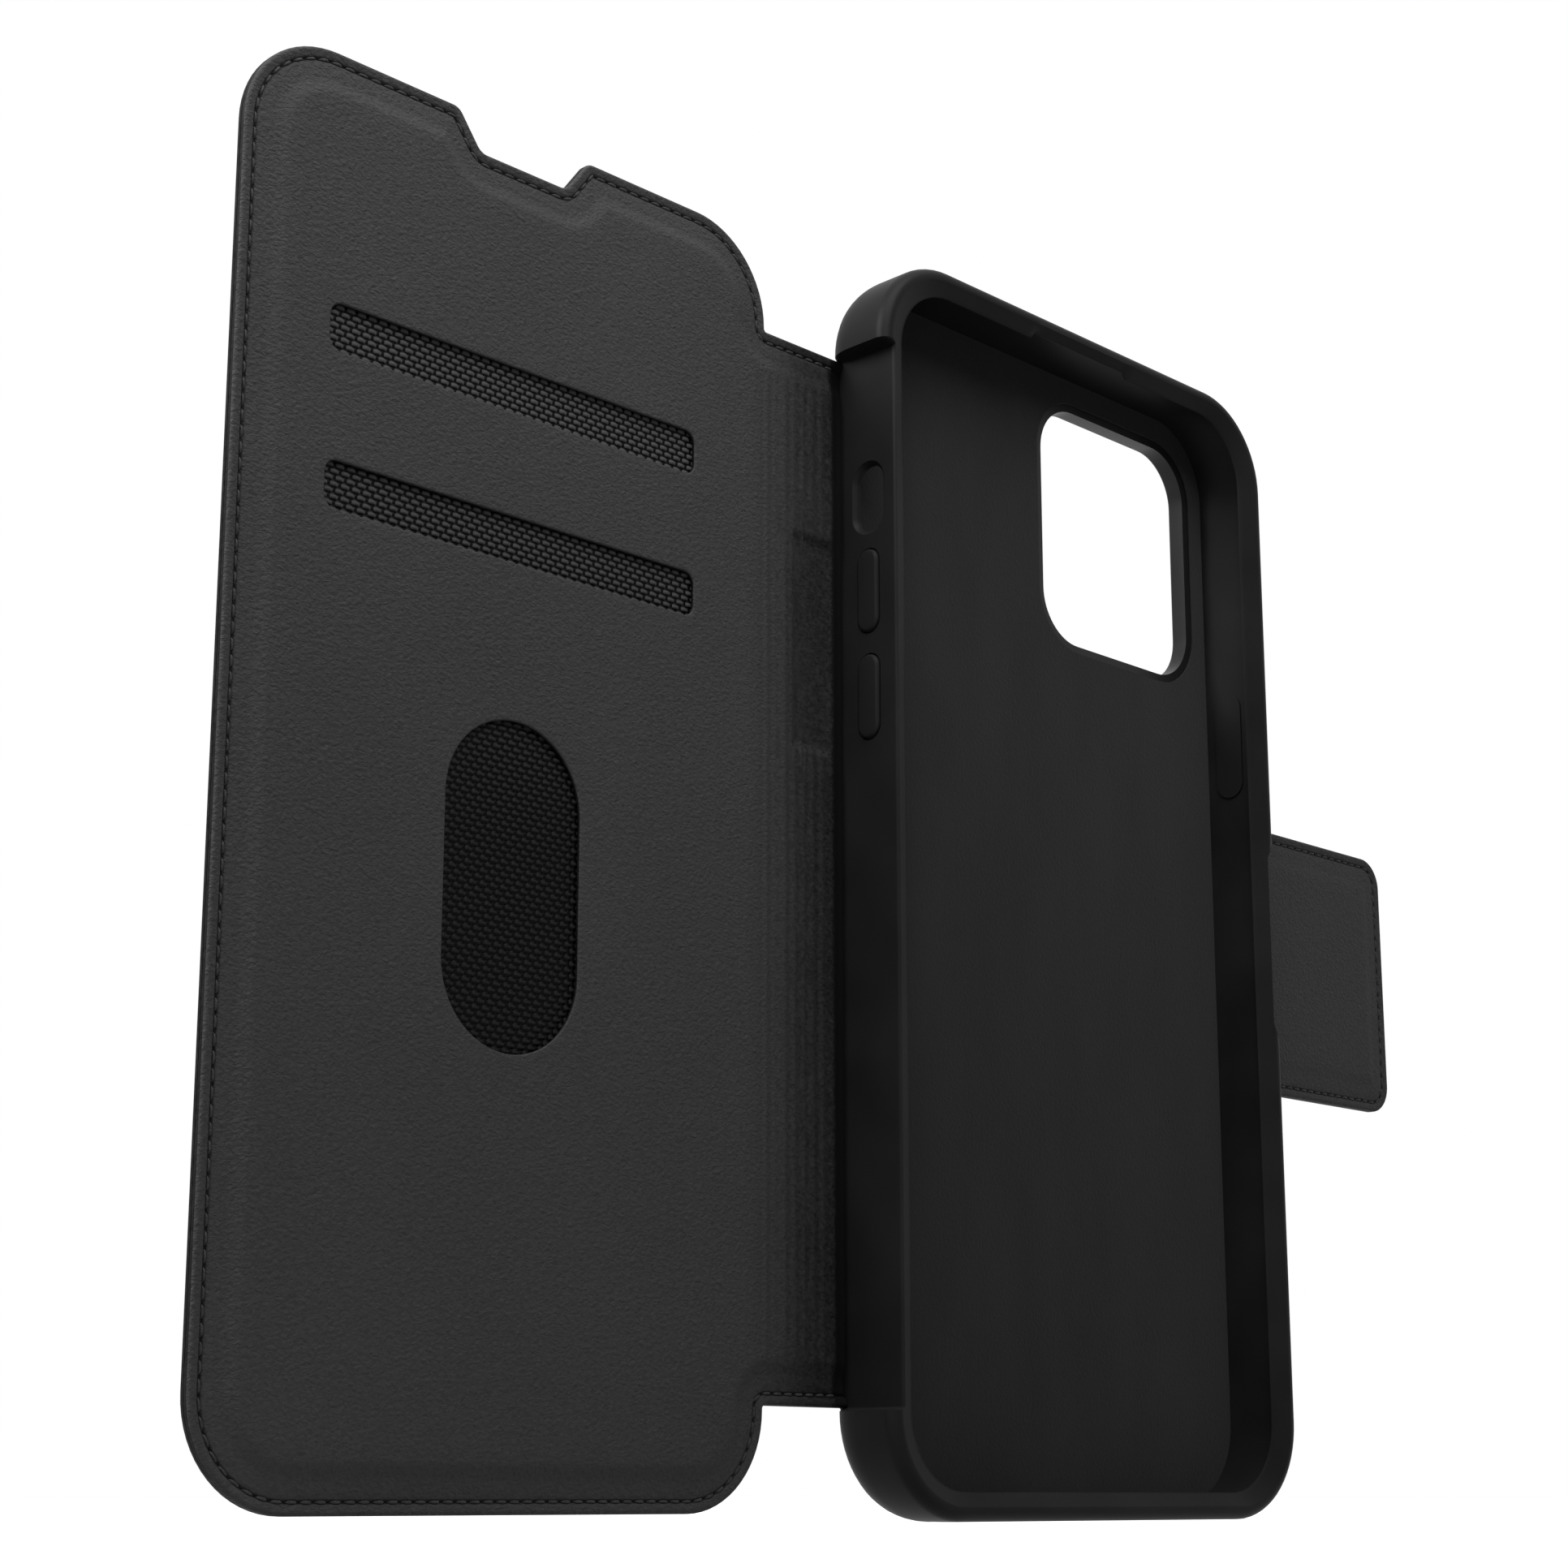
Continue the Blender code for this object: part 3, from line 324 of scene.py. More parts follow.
def doubled_area(points, triangles):
    """Twice the area of each flat triangle, below 0 where its corners run clockwise."""
    a, b, c = (points[triangles[:, k]] for k in range(3))
    return (b[:, 0] - a[:, 0]) * (c[:, 1] - a[:, 1]) - (b[:, 1] - a[:, 1]) * (c[:, 0] - a[:, 0])


def net(loop, holes, spots, lines):
    """Triangles of a Delaunay net between a loop and its holes that keeps loops and lines as edges.

    Its points are the loop's, each hole's, the spots and each line's, in that order. A line starts and ends
    on points of the loop, given by their places there.
    """
    groups = [loop, *holes, spots, *[points for points, _, _ in lines]]
    starts = np.cumsum([0] + [len(group) for group in groups])
    edges = []
    for start, group in zip(starts, [loop, *holes]):
        order = np.arange(len(group))
        edges += np.stack([start + order, start + np.roll(order, -1)], 1).tolist()
    for start, (points, first, last) in zip(starts[len(holes) + 2:], lines):
        order = np.concatenate([[first], start + np.arange(len(points)), [last]])
        edges += np.stack([order[:-1], order[1:]], 1).tolist()
    everything = np.concatenate(groups)
    found = delaunay_2d_cdt(list(map(Vector, everything.tolist())), edges, [], 0, 1e-5)
    source = np.array([origin[0] for origin in found[3]])
    triangles = source[np.array(found[2])]
    middles = everything[triangles].mean(1)
    kept = inside(middles, loop)
    for hole in holes:
        kept &= ~inside(middles, hole)
    triangles = triangles[kept]
    area = doubled_area(everything, triangles)
    triangles = np.where(area[:, None] < 0, triangles[:, ::-1], triangles)
    return everything, triangles[np.abs(area) > 1e-9]


def new_piece(name, points, faces, materials, slots=None):
    """A smooth-shaded mesh from points in millimetres, with each face's place in the list of materials."""
    mesh = bpy.data.meshes.new(name)
    mesh.from_pydata((np.asarray(points) * MM).tolist(), [], faces)
    for material in materials:
        mesh.materials.append(material)
    if slots is not None:
        mesh.polygons.foreach_set("material_index", np.asarray(slots, np.int32))
    piece = bpy.data.objects.new(name, mesh)
    bpy.context.scene.collection.objects.link(piece)
    shade(mesh)
    return piece


def shade(mesh):
    mesh.update()
    mesh.validate()
    mesh.shade_smooth()
    mesh.set_sharp_from_angle(angle=SMOOTH_ANGLE)


def apply_modifiers(piece):
    graph = bpy.context.evaluated_depsgraph_get()
    graph.update()
    mesh = bpy.data.meshes.new_from_object(piece.evaluated_get(graph))
    piece.modifiers.clear()
    piece.data = mesh
    shade(mesh)
    return piece


def thicken(piece, thickness):
    """Gives a skin its thickness behind the side that shows."""
    wall = piece.modifiers.new("thickness", "SOLIDIFY")
    wall.thickness = thickness * MM
    wall.offset = -1.0
    return apply_modifiers(piece)


def solid(name, rings, materials, loop=False):
    """A closed body through rings of points. It ends in flat caps unless the last ring joins the first."""
    rows, columns = rings.shape[:2]
    faces = grid_faces(rows, columns, close_rows=loop).reshape(-1, 4)
    points = rings.reshape(-1, 3)
    around = points[faces]
    middle = around.mean(1)
    normal = np.cross(around[:, 2] - around[:, 0], around[:, 3] - around[:, 1])
    faces = faces.tolist()
    if not loop:
        faces += caps(rows, columns)
    if (middle * normal).sum() < 0:
        faces = [face[::-1] for face in faces]
    return new_piece(name, points, faces, materials)


def stand(loops, places, axis):
    """Flat loops stood up as rings of points, each at its place along an axis."""
    return np.stack([np.insert(loop, axis, place, axis=1) for loop, place in zip(loops, places)])


def cut_out(piece, rings):
    """Cuts a closed body through the rings out of a piece."""
    cutter = solid(piece.name + "_cutter", rings, [])
    cut = piece.modifiers.new("cut", "BOOLEAN")
    cut.operation = "DIFFERENCE"
    cut.object = cutter
    apply_modifiers(piece)
    bpy.data.objects.remove(cutter, do_unlink=True)


def set_on(piece, carrier, slot, *nodes):
    """Hangs a piece on a body, or for a fold's two bodies only fixes it where it stands, and hides the nodes
    that it stands in for.
    """
    if isinstance(carrier, str):
        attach(piece, carrier)
    else:
        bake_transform(piece)
    if nodes:
        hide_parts(*nodes)


def bend(first, second, fold, side):
    return first, second, fold - side * BEND_REACH, fold + side * BEND_REACH


# Each fold from the cover to the latch, as the bodies on either side and a stretch in X about the fold
SPINE_TO_COVER = bend("spine", "cover", COVER_FOLD, -1)
SHELL_TO_SPINE = bend("shell", "spine", SPINE_FOLD, -1)
SHELL_TO_STRAP = bend("shell", "strap", STRAP_FOLD, 1)
STRAP_TO_TAB = bend("strap", "tab", TAB_FOLD, 1)


def colour(code):
    """A six-digit sRGB code as linear red, green, blue and a full alpha."""
    share = np.array([int(code[place:place + 2], 16) for place in (1, 3, 5)]) / 255
    linear = np.where(share <= 0.04045, share / 12.92, ((share + 0.055) / 1.055) ** 2.4)
    return (*linear.tolist(), 1.0)


def add_node(tree, kind, inputs=None, **settings):
    """Adds a node with its settings, and fills its sockets with values or links."""
    made = tree.nodes.new("ShaderNode" + kind)
    for name, value in settings.items():
        setattr(made, name, value)
    for socket, value in (inputs or {}).items():
        if isinstance(value, bpy.types.NodeSocket):
            tree.links.new(value, made.inputs[socket])
        else:
            made.inputs[socket].default_value = value
    return made


def new_finish(name, roughness, specular, metallic=0.0):
    """A material with its shader's plain values set, its tree, its shader and the place on the piece."""
    material = bpy.data.materials.new(name)
    material.use_nodes = True
    tree = material.node_tree
    shader = tree.nodes["Principled BSDF"]
    shader.inputs["Roughness"].default_value = roughness
    shader.inputs["Specular IOR Level"].default_value = specular
    shader.inputs["Metallic"].default_value = metallic
    place = add_node(tree, "TexCoord").outputs["Object"]
    return material, tree, shader, place


def tint(tree, shader, factor, dark, light, low=0.3, high=0.7):
    """Colours the shader from dark to light as a factor goes from low to high."""
    ramp = add_node(tree, "ValToRGB", {"Fac": factor})
    ramp.color_ramp.elements[0].position = low
    ramp.color_ramp.elements[1].position = high
    ramp.color_ramp.elements[0].color = colour(dark)
    ramp.color_ramp.elements[1].color = colour(light)
    tree.links.new(ramp.outputs["Color"], shader.inputs["Base Color"])
    return ramp.color_ramp


def emboss(tree, shader, height, depth, strength=1.0):
    """Raises the surface by a height of 0 to 1 times a depth in millimetres."""
    bump = add_node(tree, "Bump", {"Height": height, "Distance": depth * MM, "Strength": strength})
    tree.links.new(bump.outputs["Normal"], shader.inputs["Normal"])


def noise(tree, place, size, detail, **inputs):
    """Cloudy noise from 0 to 1, with patches of a size in millimetres."""
    inputs = {"Vector": place, "Scale": 1 / (size * MM), "Detail": detail, **inputs}
    return add_node(tree, "TexNoise", inputs).outputs["Fac"]


def mapped(tree, place, **inputs):
    """A place turned or stretched before a pattern is laid on it."""
    return add_node(tree, "Mapping", {"Vector": place, **inputs}).outputs["Vector"]


def spread(tree, value, low, high, start=0.0, end=1.0, **settings):
    """Carries a value over from between start and end to between low and high."""
    inputs = {"Value": value, "From Min": start, "From Max": end, "To Min": low, "To Max": high}
    return add_node(tree, "MapRange", inputs, **settings).outputs["Result"]


def maths(tree, operation, *values):
    return add_node(tree, "Math", dict(enumerate(values)), operation=operation).outputs["Value"]


def attribute(tree, name):
    return add_node(tree, "Attribute", attribute_name=name).outputs["Fac"]


def black_leather(name, hinge_from, hinge_to):
    """Coated black leather, plated with a fine grain: short crossed creases under a matt coat.

    It smooths from one place in X to another, where it is softened for the hinge, and is painted darker there
    towards the tray, a painted shade. Where the points carry painted shade it is painted darker too.
    """
    material, tree, shader, place = new_finish(name, 0.6, 0.06)
    lie = mapped(tree, place, Rotation=(0, 0.5, 0), Scale=(0.7, 1, 1.0))
    crease = noise(tree, lie, 0.42, 3.0, Roughness=0.6, Distortion=0.6)
    pebble = add_node(tree, "TexVoronoi", {"Vector": lie, "Scale": 1 / (0.7 * MM)},
                      feature="DISTANCE_TO_EDGE").outputs["Distance"]
    height = maths(tree, "MULTIPLY_ADD", pebble, 0.5, crease)
    across = add_node(tree, "SeparateXYZ", {"Vector": place}).outputs["X"]
    hinge_smoothing_and_shade = spread(tree, across, 0.0, 0.55, hinge_from * MM, hinge_to * MM, interpolation_type="SMOOTHSTEP")
    grain = maths(tree, "MULTIPLY", height, spread(tree, hinge_smoothing_and_shade, 1.0, -0.7))
    emboss(tree, shader, grain, 0.26)
    cloud = spread(tree, noise(tree, place, 22, 3.0), 0.2, 0.4)
    shift = maths(tree, "MULTIPLY_ADD", crease, 0.9, cloud)
    # Painted shade: darker at the hinge towards the tray and wherever the points carry painted shade
    darker = maths(tree, "ADD", hinge_smoothing_and_shade, attribute(tree, "painted_shading"))
    ramp = tint(tree, shader, maths(tree, "SUBTRACT", shift, darker), "#2b2b2b", "#393939", 0.45, 1.05)
    # The colour of the deepest painted shade
    ramp.elements.new(0.0).color = colour("#0d0d0d")
    return material


def speckled(name, roughness, specular, size, detail, dark, light, depth, strength=1.0):
    """A finish whose colour and relief follow one noise, with patches of a size in millimetres."""
    material, tree, shader, place = new_finish(name, roughness, specular)
    fleck = noise(tree, place, size, detail)
    tint(tree, shader, fleck, dark, light)
    emboss(tree, shader, fleck, depth, strength)
    return material


def moulded_elastomer():
    """Moulded thermoplastic elastomer: black, soft to the touch, with the fine matt of a sparked mould."""
    material, tree, shader, place = new_finish("moulded_elastomer", 0.41, 0.035)
    flow = noise(tree, place, 14, 2.0)
    tint(tree, shader, flow, "#151515", "#1c1c1c")
    tree.links.new(spread(tree, flow, 0.36, 0.46), shader.inputs["Roughness"])
    emboss(tree, shader, noise(tree, place, 0.28, 3.0), 0.012, 0.6)
    return material


def satin_plastic():
    """Moulded polycarbonate with a satin face: black, hard, and a little glossier than the elastomer."""
    material, tree, shader, place = new_finish("satin_polycarbonate", 0.36, 0.15)
    tint(tree, shader, noise(tree, place, 9, 3.0), "#131313", "#1a1a1a")
    emboss(tree, shader, noise(tree, place, 0.2, 2.0), 0.008, 0.5)
    return material


def microfibre():
    """Bonded microfibre: a short brushed nap that takes the light softly and shows where it was stroked."""
    material, tree, shader, place = new_finish("brushed_microfibre", 0.95, 0.05)
    shader.inputs["Sheen Weight"].default_value = 0.12
    nap = noise(tree, place, 0.5, 4.0, Roughness=0.7)
    stroke = mapped(tree, place, Rotation=(0, 0.3, 0), Scale=(1, 1, 0.35))
    mixed = maths(tree, "MULTIPLY_ADD", nap, 0.6, noise(tree, stroke, 9, 3.0))
    tint(tree, shader, mixed, "#141414", "#1b1b1b", 0.5, 1.1)
    emboss(tree, shader, nap, 0.09, 0.7)
    return material


def woven_nylon():
    """Black nylon in a plain weave: the threads are in the mesh, and each carries a fine twist and a painted
    sheen: painted highlights on the weft floats and painted shade on the warp floats and in the gaps.
    """
    material, tree, shader, place = new_finish("plain_woven_nylon", 0.45, 0.04)
    fibre = noise(tree, place, 0.16, 3.0)
    # Painted highlights and painted shade of the threads, with a little fibre tone
    painted_shading = maths(tree, "MULTIPLY_ADD", fibre, 0.2, attribute(tree, "painted_light"))
    tint(tree, shader, painted_shading, "#010101", "#424242", 0.45, 1.1)
    emboss(tree, shader, fibre, 0.03, 0.5)
    return material


def plated_steel():
    """Nickel-plated sheet steel: bright grey with fine rolling lines."""
    material, tree, shader, place = new_finish("nickel_plated_steel", 0.32, 0.5, 1.0)
    lines = noise(tree, mapped(tree, place, Scale=(1, 1, 0.05)), 0.3, 3.0)
    tint(tree, shader, lines, "#b9b9bb", "#cfcfd1")
    emboss(tree, shader, lines, 0.01)
    return material


def background_rays(tree):
    """1 for rays that show the background: straight to the camera, or by a glossy or clear surface."""
    ray = add_node(tree, "LightPath").outputs
    shiny = maths(tree, "MAXIMUM", ray["Is Glossy Ray"], ray["Is Transmission Ray"])
    return maths(tree, "MAXIMUM", ray["Is Camera Ray"], shiny)


def pale_floor():
    """Matt pale paper that the case stands on."""
    material, tree, shader, place = new_finish("pale_paper", 0.9, 0.1)
    tooth = noise(tree, place, 2, 3.0)
    tint(tree, shader, tooth, "#a2a2a2", "#aaaaaa")
    emboss(tree, shader, tooth, 0.02)
    shader.inputs["Emission Color"].default_value = colour("#ffffff")
    away = add_node(tree, "VectorMath", {0: place}, operation="LENGTH").outputs["Value"]
    level = spread(tree, away, FLOOR_GLOW, 1.0, FLOOR_NEAR, FLOOR_FAR)
    tree.links.new(maths(tree, "MULTIPLY", background_rays(tree), level), shader.inputs["Emission Strength"])
    return material


# A hinge so far away leaves the leather plain
FAR = 1000.0
LEATHER_FINISH = black_leather("plated_black_leather", FAR, 2 * FAR)
HINGE_FINISH = black_leather("plated_black_leather_at_hinge", COVER_FOLD - HINGE_LEAD,
                             SPINE_FOLD - HINGE_LEAD)
# Leather edge paint, brushed on and burnished: a thin smooth black film over the cut layers
EDGE_FINISH = speckled("burnished_edge_paint", 0.5, 0.04, 0.7, 4.0, "#0b0b0b", "#191919", 0.08, 0.8)
# Twisted polyester thread: dark grey, with a silky light side and strands drawn coarse enough to show
THREAD = speckled("twisted_polyester_thread", 0.5, 0.08, 0.22, 2.0, "#242424", "#3a3a3a", 0.04, 0.6)
# Pressed grey fibre board: matted fibres with darker flecks
BOARD = speckled("pressed_fibre_board", 0.9, 0.2, 0.8, 6.0, "#3f3a35", "#5d564e", 0.05)
ELASTOMER = moulded_elastomer()
PLASTIC = satin_plastic()
LINING = microfibre()
FABRIC = woven_nylon()
STEEL = plated_steel()


def border_profile(sewn=True):
    """Insets of the rows of a leather border, with each row's edge drop, groove share and ramp share.

    The wall of the edge comes first, then its quarter round and a flat. A sewn border is drawn down to the
    seam in a shallow dish, with a groove whose depth follows a cosine squared, and goes on with an S-shaped
    ramp.
    """
    groove = np.linspace(-1, 1, 9)
    ramp = np.linspace(RAMP_START, RAMP_END, 9)
    inset = np.concatenate([[0.0], EDGE_ROUND * (1 - np.cos(QUARTER)), EDGE_FLAT])
    if sewn:
        inset = np.concatenate([inset, SEAM_INSET + GROOVE_HALF * groove, SEAM_SLOPE, ramp])
    drop = np.zeros(len(inset))
    drop[0] = LEATHER
    drop[1:1 + len(QUARTER)] = EDGE_ROUND * (1 - np.sin(QUARTER))
    if sewn:
        falling = smooth((inset - EDGE_ROUND) / (SEAM_INSET - EDGE_ROUND))
        drop += SEAM_DISH * falling * smooth((RAMP_START - inset) / (RAMP_START - SEAM_INSET))
    dig = np.where(np.abs(inset - SEAM_INSET) < GROOVE_HALF,
                   np.cos((inset - SEAM_INSET) / GROOVE_HALF * math.pi / 2) ** 2, 0.0)
    rise = smooth((inset - RAMP_START) / (RAMP_END - RAMP_START))
    return inset, drop, dig, rise


EDGE_ROWS = 2


def leather_skin(path, cuts, facing, rise_at, lift_at, spots, windows=(), sewn=True):
    """Points and faces of one skin of leather, with the zone and the edge mark of each face.

    The border profile is carried round the path. Each window's rim is a rounded edge and a wall carried round
    the window. A net fills the rest. Heights add up along the way the skin faces: the border's own, the rise
    of the panel at that place, and lift_at. Zones are counted from the left between the cuts, each a pair of
    corners of the path, above and below.
    """
    inset, drop, dig, climb = border_profile(sewn)
    level = OUTER_LEVEL if facing > 0 else INNER_LEVEL
    rings = path.rings(inset)
    rows, columns = rings.shape[:2]
    x, z = rings[..., 0], rings[..., 1]
    height = climb[:, None] * rise_at(x) - drop[:, None] - GROOVE_DEPTH * dig[:, None]
    height = height + lift_at(x, z) * smooth(inset / RAMP_START)[:, None]
    quads = [grid_faces(rows, columns).reshape(-1, 4)]
    flat_points = [rings.reshape(-1, 2)]
    heights = [height.ravel()]
    # Painted shade: the stitch groove is painted darker by its depth share
    painted_shading = [np.repeat(dig, columns)]

    marks = [path.mark(top) for top, _ in cuts]
    limits = rings[:, marks, 0]
    row_limits = (limits[1:] + limits[:-1]) / 2
    middles = x.ravel()[quads[0]].mean(1).reshape(rows - 1, columns)
    zones = [(middles[..., None] > row_limits[:, None, :]).sum(2).ravel()]
    edges = [np.repeat(np.arange(rows - 1) < EDGE_ROWS, columns)]

    holes, hole_starts = [], []
    outset = np.concatenate([[WINDOW_RIM], WINDOW_ROUND * (1 - np.sin(QUARTER)), [0.0]])
    sunk = np.concatenate([[0.0], WINDOW_ROUND * (1 - np.cos(QUARTER)), [WINDOW_WALL]])
    for window in windows:
        start = sum(map(len, flat_points))
        rim = window.rings(-outset)
        holes.append(rim[0])
        hole_starts.append(start)
        rim_x, rim_z = rim[..., 0], rim[..., 1]
        quads.append(start + grid_faces(*rim.shape[:2]).reshape(-1, 4))
        flat_points.append(rim.reshape(-1, 2))
        heights.append((rise_at(rim_x) + lift_at(rim_x, rim_z) - sunk[:, None]).ravel())
        zones.append((rim_x.mean() > limits[-1]).sum() * np.ones(len(quads[-1]), int))
        painted_shading.append(np.zeros(rim_x.size))
        edges.append(np.repeat(np.arange(len(outset) - 1) >= len(outset) - 2, rim.shape[1]))

    loop = rings[-1]
    lines = []
    for top, bottom in cuts:
        first, last = path.mark(top), path.mark(bottom)
        count = int(abs(loop[first, 1] - loop[last, 1]) / FILL_SPACING)
        share = np.arange(1, count)[:, None] / count
        lines.append((loop[first] + (loop[last] - loop[first]) * share, first, last))
    clear = well_inside(spots, loop, holes, LOOP_CLEAR, HOLE_CLEAR)
    for points, _, _ in lines:
        clear &= np.abs(spots[:, 0] - points[0, 0]) > LINE_CLEAR
    flat, triangles = net(loop, holes, spots[clear], lines)
    size = sum(map(len, flat_points))
    ring_places = np.arange(columns) + (rows - 1) * columns
    hole_places = [start + np.arange(len(hole)) for start, hole in zip(hole_starts, holes)]
    known = np.concatenate([ring_places, *hole_places])
    fresh = size + np.arange(len(flat) - len(known))
    triangles = np.concatenate([known, fresh])[triangles]
    filled = flat[len(known):]
    flat_points.append(filled)
    heights.append(rise_at(filled[:, 0]) + lift_at(filled[:, 0], filled[:, 1]))
    everywhere = np.concatenate(flat_points)
    zone_of_net = (everywhere[triangles, 0].mean(1)[:, None] > limits[-1]).sum(1)

    y = level + facing * np.concatenate(heights)
    points = np.stack([everywhere[:, 0], y, everywhere[:, 1]], 1)
    painted_shading = np.concatenate([*painted_shading, np.zeros(len(filled))])
    quads = np.concatenate(quads)
    if facing > 0:
        quads, triangles = quads[:, ::-1], triangles[:, ::-1]
    zones, edges = np.concatenate(zones), np.concatenate(edges)
    return points, painted_shading, (quads, zones, edges), (triangles, zone_of_net, np.zeros(len(triangles), bool))


def skin_pieces(points, painted_shading, quads, triangles, pieces, finish=LEATHER_FINISH):
    """One thickened piece of leather for each named zone, with its edges painted."""
    for zone, (name, carrier, nodes) in enumerate(pieces):
        if not name:
            continue
        groups = [(faces[zones == zone], edges[zones == zone]) for faces, zones, edges in (quads, triangles)]
        corners = np.concatenate([faces.ravel() for faces, _ in groups])
        used, places = np.unique(corners, return_inverse=True)
        faces, start = [], 0
        for group, _ in groups:
            faces += places[start:start + group.size].reshape(group.shape).tolist()
            start += group.size
        slots = np.concatenate([edges for _, edges in groups]).astype(int)
        piece = new_piece(name, points[used], faces, [finish, EDGE_FINISH], slots)
        piece.data.attributes.new("painted_shading", "FLOAT", "POINT").data.foreach_set("value", painted_shading[used])
        set_on(thicken(piece, SKIN), carrier, "leather", *nodes)


def stitches(path, facing, limits, lift_at, pieces):
    """Rows of stitches along the groove of a skin, one piece for each named zone between the limits in X.

    A stitch is a rounded bar: its radius shrinks to both ends as a power of the circle, and its ends dip into
    the groove. Bars lie end to end, a pitch apart, along the path at the seam's inset.
    """
    level = OUTER_LEVEL if facing > 0 else INNER_LEVEL
    ring = path.ring(SEAM_INSET)
    closed = np.concatenate([ring, ring[:1]])
    run = np.concatenate([[0.0], np.cumsum(np.linalg.norm(np.diff(closed, axis=0), axis=1))])
    count = int(round(run[-1] / STITCH_PITCH))
    at = (np.arange(count) + 0.5) * run[-1] / count
    tip = at + STITCH_LENGTH / 2
    middle = np.stack([np.interp(at, run, closed[:, k]) for k in range(2)], 1)
    ahead = np.stack([np.interp(tip, run, closed[:, k], period=run[-1]) for k in range(2)], 1)
    along = ahead - middle
    along /= np.linalg.norm(along, axis=1)[:, None]
    across = np.stack([-along[:, 1], along[:, 0]], 1)

    share = np.linspace(-STITCH_TIP, STITCH_TIP, STITCH_ROWS)[:, None]
    angle = np.linspace(0, 2 * math.pi, STITCH_SIDES, endpoint=False)[None, :]
    girth = STITCH_RADIUS * (1 - share ** 2) ** STITCH_TAPER
    bar_along = (share + 0 * angle) * STITCH_LENGTH / 2
    bar_across = girth * np.cos(angle)
    bar_up = girth * np.sin(angle) * STITCH_FLAT - STITCH_DIP * share ** 4
    flat = (middle[:, None, None] + bar_along[..., None] * along[:, None, None]
            + bar_across[..., None] * across[:, None, None])
    up = bar_up + lift_at(middle[:, 0], middle[:, 1])[:, None, None]
    points = np.stack([flat[..., 0], level + facing * up, flat[..., 1]], -1)
    rows, columns = share.shape[0], angle.shape[1]
    bar = grid_faces(rows, columns).reshape(-1, 4).tolist() + caps(rows, columns)
    if facing < 0:
        bar = [face[::-1] for face in bar]
    zone_of = (middle[:, 0, None] > np.array(limits)).sum(1)
    for zone, (name, carrier, nodes) in enumerate(pieces):
        chosen = points[zone_of == zone].reshape(-1, 3)
        if not name or not len(chosen):
            continue
        starts = range(0, len(chosen), rows * columns)
        faces = [[start + corner for corner in face] for start in starts for face in bar]
        set_on(new_piece(name, chosen, faces, [THREAD]), carrier, "thread", *nodes)


def ramp_between(x, low, high, before, after):
    """Goes from one value to another as x goes from low to high, along an S curve."""
    return before + (after - before) * smooth((x - low) / (high - low))


def ramp_at(fold, reach, before, after):
    """The height of a panel along X, which changes over a reach from a fold."""
    return lambda x: ramp_between(x, fold + reach[0], fold + reach[1], before, after)


def cover_notch():
    mouth, floor, low = NOTCH_MOUTH / 2, NOTCH_FLOOR / 2, COVER_Z - NOTCH_DEPTH
    steps = ((mouth, COVER_Z), (floor, low), (-floor, low), (-mouth, COVER_Z))
    return [(COVER_X + aside, z) for aside, z in steps]


def cover_windows():
    slots = [Track(box_corners(SLOT_WIDTH / 2, SLOT_HEIGHT / 2, COVER_X, z), SLOT_CORNER) for z in SLOT_Z]
    return slots + [stadium(THUMB_WIDTH, THUMB_HEIGHT, COVER_X, THUMB_Z)]


def cover_spots():
    xs = np.arange(COVER_FREE, COVER_FOLD - COVER_FILL_END, FILL_SPACING)
    return lattice(xs, np.arange(-COVER_Z, COVER_Z, FILL_SPACING))


def with_folds(spots, folds, half):
    """Spots with those near each fold changed for close columns and rows, so that a bend stays smooth."""
    reach = BEND_REACH + BEND_MARGIN
    clear = np.min([np.abs(spots[:, 0] - fold) for fold in folds], axis=0) > reach + BEND_CLEAR
    columns, rows = np.arange(-reach, reach, BEND_COLUMNS), np.arange(-half, half, BEND_ROWS)
    return np.concatenate([spots[clear], *[lattice(fold + columns, rows) for fold in folds]])


def flat_lift(x, z):
    return np.zeros_like(x)


def stitch_lift(x, z):
    return np.full_like(x, -STITCH_SINK - SEAM_DISH)


def cover_path(end):
    """The outline of cover and spine up to an end in X, run on past it, with the cuts between its zones."""
    far = end + RUN_ON
    corners = [(far, -SPINE_Z), (far, SPINE_Z), (end, SPINE_Z), (SPINE_MIDDLE, SPINE_Z),
               (COVER_FOLD, SPINE_Z), (COVER_FOLD, COVER_Z), *cover_notch(), (COVER_FREE, COVER_Z),
               (COVER_FREE, -COVER_Z), (COVER_FOLD, -COVER_Z), (COVER_FOLD, -SPINE_Z),
               (SPINE_MIDDLE, -SPINE_Z), (end, -SPINE_Z)]
    radii = [RUN_ON_CORNER, RUN_ON_CORNER, 0, 0, CREASE_CORNER, SPINE_SIDE_CORNER, *[NOTCH_ROUND] * 4,
             COVER_CORNER, COVER_CORNER, SPINE_SIDE_CORNER, CREASE_CORNER, 0, 0]
    spacing = np.full(len(corners), PATH_SPACING)
    # The spine's edges bend, so their points lie close
    spacing[[2, 3, 13, 14]] = BEND_SPACING
    return Track(corners, radii, spacing), [(5, 12), (3, 14), (2, 15)]


def latch_path(end):
    """The outline of strap and tab from an end in X, run on before it, with the cuts between its zones."""
    far = end - RUN_ON
    corners = [(far, STRAP_Z), (far, -STRAP_Z), (end, -STRAP_Z), (STRAP_MIDDLE, -STRAP_Z),
               (TAB_FREE, -STRAP_Z), (TAB_FREE, STRAP_Z), (STRAP_MIDDLE, STRAP_Z), (end, STRAP_Z)]
    radii = [RUN_ON_CORNER, RUN_ON_CORNER, 0, 0, TAB_CORNER, TAB_CORNER, 0, 0]
    spacing = np.full(len(corners), PATH_SPACING)
    # The latch's long edges bend, so their points lie close
    spacing[[2, 3, 5, 6]] = BEND_SPACING
    return Track(corners, radii, spacing), [(7, 2), (6, 3)]


